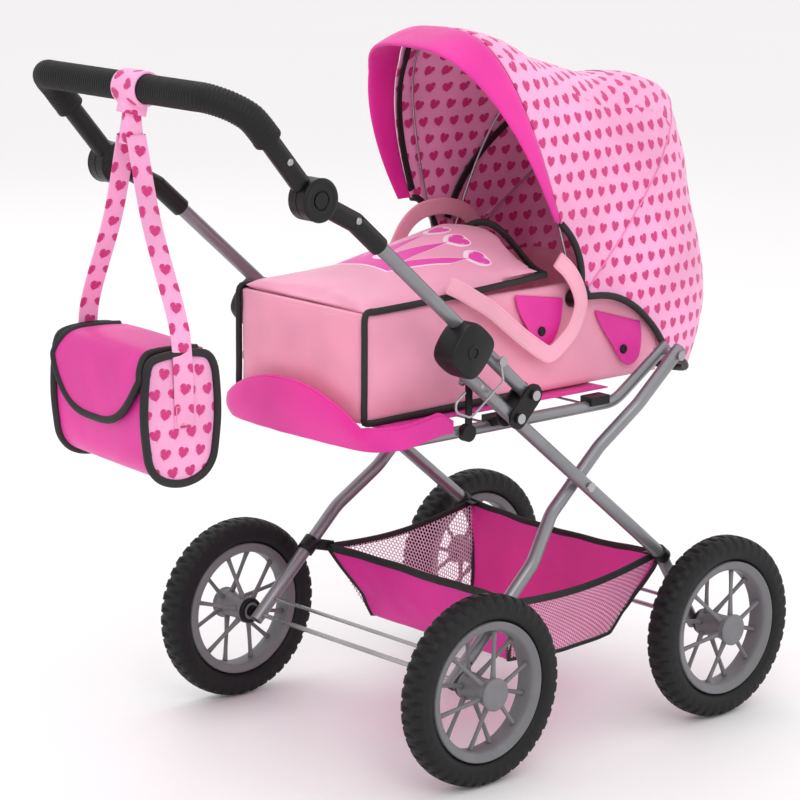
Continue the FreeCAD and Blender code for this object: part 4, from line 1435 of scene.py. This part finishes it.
# ---------------------------------------------------------------------------------------- basket
@dataclass
class Basket:
    """Shopping basket: a cloth U from rim to rim with net sides, bound edges and frame straps."""

    rear_top: tuple = (104.0, 155.0)
    front_top: tuple = (289.0, 170.0)
    rear_foot: tuple = (114.0, 82.0)
    front_foot: tuple = (262.0, 82.0)
    half_top: float = 131.0
    half_foot: float = 105.0

    def line(self, count: int) -> Array:
        """The U seen from the side: down the rear panel, along the floor and up the front.

        Args:
            count: how many points.

        Returns:
            The points, columns ahead and height.
        """
        (ax, az), (bx, bz) = self.rear_top, self.rear_foot
        (cx, cz), (dx, dz) = self.front_foot, self.front_top
        return smooth([(ax, az), (ax + 3, (az + bz) / 2 + 6), (bx, bz + 6), (bx + 10, bz),
                       ((bx + cx) / 2, bz - 4), (cx - 10, cz), (cx, cz + 6),
                       (dx - 11, (cz + dz) / 2 + 4), (dx, dz)], count)

    def half_at(self, line: Array) -> Array:
        """Half-width of the cloth at each point of the U."""
        return np.interp(line[:, 1], (82, 155), (self.half_foot, self.half_top))

    def follow(self, piece: Piece) -> None:
        """Bake a piece's placement into its mesh, hide the CAD nodes it stands for and report it;
        points at the front and rear legs are worked out but not used.

        Args:
            piece: the piece.
        """
        front = Frame.place(np.array([self.front_top[0], 0, 165.0]))
        rear = Frame.place(np.array([self.rear_top[0], 0, 155.0]))
        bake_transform(piece.obj)
        piece.register()

    def build(self) -> None:
        """Make every piece of the basket."""
        line = self.line(90)
        v = np.linspace(-1, 1, 46)
        grid = np.zeros((90, 46, 3))
        pull = np.clip((line[:, 1] - 105) / 50, 0, 1.1)[:, None] * np.abs(v) ** 3
        grid[..., 0] = line[:, :1] + np.where(line[:, :1] < 190, -20.0, 2.0) * pull
        grid[..., 1] = self.half_at(line)[:, None] * v * (1 + 0.075 * pull)
        rim = np.clip((line[:, 1] - 120) / 40, 0, 1)[:, None]
        grid[..., 2] = line[:, 1:] - 7.0 * rim * (1 - v ** 2) + 1.0 * ripple(grid, 50, 41)
        wall = np.clip((line[:, 1] - 84) / 30, 0, 1)[:, None]
        outward = np.where(line[:, :1] < 190, -1.0, 1.0)
        grid[..., 0] += outward * wall * (3.0 * (1 - v ** 2) + 1.2 * ripple(grid, 42, 42))
        cloth = Piece("basket_cloth", "main_frame", "magenta_cloth", ["shopping_basket"])
        cloth.grid(grid).build()
        cloth.finishings(1.0, 0, 0.0)
        self.follow(cloth)
        bound = Piece("basket_binding", "main_frame", "binding")
        for column in (0, -1):
            bound.tube(grid[:, column], circle(2.3, 8), (0, 1, 0.01))
        for row in (0, -1):
            bound.tube(grid[row], band(9.0, 2.6, 14, 0.7), (1, 0, 0.05))
        for name, side in SIDES.items():
            u = np.linspace(0, 1, 40)[:, None]
            h = np.linspace(0, 1, 24)[None]
            low = smooth([self.rear_foot, (188, 78), self.front_foot], 40)
            top_x = self.rear_top[0] - 20 + (self.front_top[0] + 22 - self.rear_top[0]) * u
            top_z = self.rear_top[1] + (self.front_top[1] - self.rear_top[1]) * u
            top_z = top_z - 9.0 * np.sin(math.pi * u)
            x = low[:, :1] + (top_x - low[:, :1]) * h
            z = low[:, 1:] + (top_z - low[:, 1:]) * h
            y = self.half_foot + (self.half_top + 9.5 - self.half_foot) * h - 6.0 * np.sin(
                math.pi * u) * np.sin(math.pi * h)
            net = Piece(f"basket_net_{name}", "main_frame", "net")
            net.grid(np.stack([x, side * (y + 0 * x), z], -1)).build()
            self.follow(net)
            rim_line = np.stack([x[:, -1], side * y[:, -1], z[:, -1]], 1)
            bound.tube(rim_line, band(8.0, 2.6, 14, 0.7), (0, 1, 0))
        bound.build()
        self.follow(bound)
        self.straps()

    def straps(self) -> None:
        """Short black straps from the corners, each ending in a sleeve round its leg."""
        for name, side in SIDES.items():
            rear = Piece(f"basket_strap_rear_{name}", "cross_frame", "black_plastic")
            leg = unit(np.array([104.0, 0, 99.7]))
            mid = np.array([66.0, side * 150.0, 158.3])
            sleeve = mid + leg * np.linspace(-8, 8, 5)[:, None]
            rear.tube(sleeve, circle(9.0, 20), (0, 1, 0))
            pad = smooth([mid + [7, -side * 2, 0], (80, side * 145, 157), (90, side * 139, 155)],
                         14)
            rear.tube(pad, band(13.0, 2.6, 14, 0.6), (0, 1, 0.3))
            rear.turned(smooth([(8.6, 3.2), (9.8, 2.6), (10.2, 1.2), (10.3, 0.1)], 8), mid,
                        (0, side, 0), 16)
            rear.build().settle()
            front = Piece(f"basket_strap_front_{name}", "main_frame", "black_plastic")
            leg = unit(np.array([0.773, 0, -0.634]))
            mid = np.array([286.5, side * 150.0, 172.0])
            sleeve = mid + leg * np.linspace(-6, 6, 5)[:, None]
            front.tube(sleeve, circle(8.6, 20), (0, 1, 0))
            pad = smooth([mid + [0, -side * 6, 0], (288, side * 138, 171), (288, side * 129, 170)],
                         10)
            front.tube(pad, band(13.0, 2.6, 14, 0.6), (0, 0.1, 1))
            front.build().settle()


# ------------------------------------------------------------------------------------------- bag
@dataclass
class Bag:
    """Shoulder bag that hangs from the handlebar on one printed strap."""

    middle: tuple = (-284.5, -20.0, 331.0)
    turn: float = -5.5
    width: float = 161.0
    depth: float = 76.0
    height: float = 118.0
    bar: tuple = (-280.0, -22.0, 682.0)

    def place(self, points: Array) -> Array:
        """Points of (forward, left, height) in the bag's own turned axes.

        Args:
            points: the points.

        Returns:
            The points ahead, left and up.
        """
        a = math.radians(self.turn)
        f, l, h = points[..., 0], points[..., 1], points[..., 2]
        return np.stack([self.middle[0] + f * math.cos(a) - l * math.sin(a),
                         self.middle[1] + f * math.sin(a) + l * math.cos(a),
                         self.middle[2] + h], -1)

    def outline(self, count: int = 96) -> Array:
        """Side outline of (forward, height): rounded below, nearly flat on top.

        Args:
            count: how many points.

        Returns:
            The outline.
        """
        d, h = self.depth / 2, self.height
        return smooth([(-d + 2, 38), (-d + 6, 18), (-d + 18, 5), (0, 0), (d - 18, 5), (d - 6, 18),
                       (d - 2, 38), (d, 62), (d - 1, 88), (d - 4, h - 12), (d - 13, h - 2),
                       (0, h + 0.6), (-d + 12, h - 2), (-d + 4, h - 10), (-d + 1, 88), (-d, 62)],
                      count, True)[:-1]

    def shell(self) -> None:
        """Body: the outline carried across the width, fuller in the middle of each face."""
        ring = self.outline()
        centre = np.array([0.0, self.height / 2])
        t = np.linspace(-1, 1, 44)[:, None]
        plump = 1 + 0.035 * (1 - t ** 2)
        f = centre[0] + (ring[None, :, 0] - centre[0]) * plump
        h = np.broadcast_to(ring[None, :, 1], f.shape)
        left = np.broadcast_to(t * self.width / 2, f.shape)
        local = np.stack([f, left, h], -1)
        local[..., 0] += 1.2 * ripple(local, 48, 51) * (1 - np.abs(t))
        body = Piece("bag_shell", "shoulder_bag", "magenta_cloth", ["bag_body"])
        body.grid(self.place(local), around=True)
        body.build().finishings(1.2, 0, -1.0).settle()
        for name, side in SIDES.items():
            share = np.linspace(1.0, 0.0, 22)[:, None]
            f = centre[0] + (ring[None, :, 0] - centre[0]) * share
            h = centre[1] + (ring[None, :, 1] - centre[1]) * share
            dome = 4.6 * (1 - share ** 2.2)
            local = np.stack([f, side * (self.width / 2 - 0.4 + dome) + 0 * f, h], -1)
            local[..., 1] += side * 0.8 * ripple(local, 30, 52 + side) * (1 - share)
            chart = np.stack([f, h], -1) / 1000.0
            chart = np.concatenate([chart, chart[:, :1]], 1)
            gusset = Piece(f"bag_gusset_{name}", "shoulder_bag", "heart_cloth")
            gusset.grid(self.place(local), around=True, chart=chart).build().settle()
            edge = np.stack([ring[:, 0] * 1.02, np.full(len(ring), side * self.width / 2),
                             centre[1] + (ring[:, 1] - centre[1]) * 1.015], 1)
            piping = Piece(f"bag_binding_{name}", "shoulder_bag", "binding")
            piping.tube(self.place(edge), circle(3.9, 10, 1.1), (0.1, 1, 0), loop=True)
            piping.build().settle()

    def flap(self) -> None:
        """Flap: a sheet over the top whose rear tongue ends in a curve, bound in black.

        Its length falls as |u|^3 from its middle to its sides.
        """
        d, h = self.depth / 2, self.height
        spine = smooth([(d - 6, h + 1.6), (d - 16, h + 3.0), (0, h + 4.0), (-d + 12, h + 2.4),
                        (-d + 1, h - 8.0), (-d - 3.4, h - 22), (-d - 5.6, h - 44),
                        (-d - 5.8, h - 66)], 120)
        u = np.linspace(-1, 1, 60)[:, None]
        v = np.linspace(0, 1, 50)[None]
        reach = (1 - 0.36 * np.abs(u) ** 3.0) * v
        f = np.interp(reach, np.linspace(0, 1, 120), spine[:, 0])
        z = np.interp(reach, np.linspace(0, 1, 120), spine[:, 1])
        half = self.width / 2 - 13.0 + 10.0 * np.clip((reach - 0.45) / 0.2, 0, 1)
        local = np.stack([f, u * half, z - 1.0 * np.abs(u) ** 3], -1)
        local[..., 0] -= 0.7 * ripple(local, 40, 61) * np.clip(reach - 0.5, 0, 1) * 2
        flap = Piece("bag_flap_cloth", "bag_cover", "magenta_cloth", ["bag_flap"])
        grid = self.place(local)
        flap.grid(grid).build().finishings(1.4, 0, 0.0).settle()
        edge = np.vstack([grid[0, 4:], grid[1:-1, -1], grid[-1, 4:][::-1]])
        hem = Piece("bag_flap_binding", "bag_cover", "binding")
        hem.tube(spaced(edge, 180), circle(3.7, 10), (0.985, -0.16, 0.05))
        hem.build().settle()

    def strap(self) -> None:
        """Strap: two printed legs that meet under the bar, a gather and a sleeve round it."""
        half = self.width / 2 + 3.4
        knot = self.bar[2] - 46 - self.middle[2]
        for name, side in SIDES.items():
            points = [(0, side * (half + 1.6), 52), (0, side * (half + 2.2), 80),
                      (0, side * half, self.height), (0, side * (half - 9), self.height + 34),
                      (0, side * 34, knot - 74), (0, side * 8, knot + 4)]
            path = smooth(points, 90)
            leg = Piece(f"bag_strap_{name}", "shoulder_bag", "heart_cloth", ["bag_strap"])
            leg.tube(self.place(path), band(20.0, 1.8, 20, 0.5), (0.16, 0.98, 0.0))
            leg.build().settle()
            stitch = Piece(f"bag_stitching_{name}", "shoulder_bag", "webbing")
            box = np.array([(-8, 55), (8, 55), (8, 72), (-8, 72)], float)
            box = spaced(np.vstack([box, box[:1]]), 60)[:-1]
            local = np.stack([box[:, 0], np.full(len(box), side * (half + 2.7)), box[:, 1]], 1)
            stitch.tube(self.place(local), circle(0.45, 6), (0.16, 1, 0), loop=True)
            stitch.build().settle()
        gather = Piece("bag_strap_gather", "shoulder_bag", "heart_cloth")
        path = smooth([(0, 0, knot - 4), (0, 0, knot + 10), (1, 0, knot + 27)], 24)
        size = np.linspace(1.0, 0.72, 24)[:, None]
        gather.tube(self.place(path), band(22.0, 15.0, 24, 0.5), (0.16, 0.98, 0), size)
        gather.build().settle()
        sleeve = Piece("bag_loop_cloth", "bag_ring", "heart_cloth", ["bag_loop"])
        rows = np.array([(-17, 13.9), (-17.4, 15.2), (-16.4, 16.2), (-8, 16.6), (0, 16.2),
                         (8, 16.7), (16.4, 16.3), (17.4, 15.2), (17, 13.9)], float)
        sleeve.turned(smooth(rows, 30), self.bar, (0, 1, 0), 48)
        down = self.place(smooth([(0, 0, knot + 22), (2, 0, knot + 30), (4, 0, knot + 36)], 10))
        sleeve.tube(down, band(26.0, 18.0, 24, 0.5), (0.16, 0.98, 0))
        sleeve.build().settle()

    def build(self) -> None:
        """Make every piece of the bag."""
        self.shell()
        self.flap()
        self.strap()


# ----------------------------------------------------------------------------------------- frame
class Dressing(Enum):
    """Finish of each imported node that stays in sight."""

    frame_paint = ("main_tube_left", "main_tube_right", "cross_tube_left", "cross_tube_right",
                   "handle_tube_left", "handle_tube_right", "tray_rail")
    bright_steel = ("front_axle", "rear_axle", "front_stay", "rear_stay", "frame_rivets",
                    "tray_pins", "tray_rest_pins", "lock_bail_left", "lock_bail_right",
                    "hood_bow_front", "hood_bow_middle", "hood_bow_rear", "handlebar_core")
    black_plastic = ("front_axle_spacers", "rear_axle_spacers", "handle_bracket_left",
                     "handle_bracket_right", "lower_knuckles", "upper_knuckles",
                     "push_button_left", "push_button_right", "tray_saddles", "tray_hangers",
                     "hood_pivots")

    def apply(self) -> None:
        """Give these nodes their finish."""
        for name in self.value:
            finish(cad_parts[name], self.name)
            log.info("%s wears %s", name, self.name)


@dataclass
class Studio:
    """Pale floor, soft lights and the camera."""

    azimuth: float = -41.48
    elevation: float = 12.45
    roll: float = 0.36
    eye: tuple = (-1940.8, -2263.5, 1007.8)
    lens: float = 138.6
    sensor: float = 36.0
    floor_half: float = 9.0
    floor_drop: float = 0.0006

    def camera(self) -> None:
        """Camera looking back along (sin a cos e, -cos a cos e, sin e), rolled a little."""
        a, e, r = (math.radians(v) for v in (self.azimuth, self.elevation, self.roll))
        back = Vector((math.sin(a) * math.cos(e), -math.cos(a) * math.cos(e), math.sin(e)))
        right = Vector((0, 0, 1)).cross(back).normalized()
        up = back.cross(right)
        across = right * math.cos(r) + up * math.sin(r)
        above = up * math.cos(r) - right * math.sin(r)
        data = bpy.data.cameras.new("Camera")
        data.lens, data.sensor_width, data.clip_end = self.lens, self.sensor, 60.0
        camera = bpy.data.objects.new("Camera", data)
        bpy.context.scene.collection.objects.link(camera)
        turn = Matrix((across, above, back)).transposed().to_4x4()
        camera.matrix_world = Matrix.Translation(Vector(Frame.place(np.array(self.eye)))) @ turn
        bpy.context.scene.camera = camera

    def floor(self) -> None:
        """A wide pale plane just under the tyres."""
        mesh = bpy.data.meshes.new("Floor")
        corners = [(x * self.floor_half, y * self.floor_half, -self.floor_drop)
                   for x, y in ((-1, -1), (1, -1), (1, 1), (-1, 1))]
        mesh.from_pydata(corners, [], [(0, 1, 2, 3)])
        floor = bpy.data.objects.new("Floor", mesh)
        bpy.context.scene.collection.objects.link(floor)
        mesh.materials.append(Ground("studio_floor", (0.93, 0.92, 0.925)).material())

    def lights(self) -> None:
        """Four large soft lights and an even surrounding glow."""
        for name, place, size, power in (
                ("Key", (-1.6, -2.6, 2.6), 1.6, 26.0), ("Fill", (2.6, -1.8, 1.6), 2.0, 5.0),
                ("Top", (0.2, 0.6, 3.2), 2.0, 16.0), ("Back", (1.2, 3.0, 1.8), 2.0, 5.0)):
            data = bpy.data.lights.new(name, "AREA")
            data.energy, data.size = power, size
            light = bpy.data.objects.new(name, data)
            light.location = place
            light.rotation_euler = (Vector((0, 0, 0.35)) - Vector(place)).to_track_quat(
                "-Z", "Y").to_euler()
            bpy.context.scene.collection.objects.link(light)
        world = bpy.data.worlds.new("Studio")
        world.use_nodes = True
        glow = world.node_tree.nodes["Background"]
        glow.inputs[0].default_value = (1.0, 0.99, 0.995, 1.0)
        glow.inputs[1].default_value = 0.97
        bpy.context.scene.world = world
        bpy.context.scene.view_settings.view_transform = "Standard"

    def build(self) -> None:
        """Set the whole stage."""
        self.camera()
        self.floor()
        self.lights()


def main() -> None:
    """Build every sub-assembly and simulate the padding."""
    logging.basicConfig(level=logging.INFO, format="%(name)s: %(message)s")
    Studio().build()
    for dressing in Dressing:
        dressing.apply()
    for end in ("rear", "front"):
        for side in SIDES:
            wheel = Wheel(end, side)
            wheel.tyre()
            wheel.rim()
    simmer = Simmer()
    Handle().build()
    Tray().build()
    Carrycot().build(simmer)
    Hood().build()
    Basket().build()
    Bag().build()
    simmer.run()


if __name__ == "__main__":
    main()
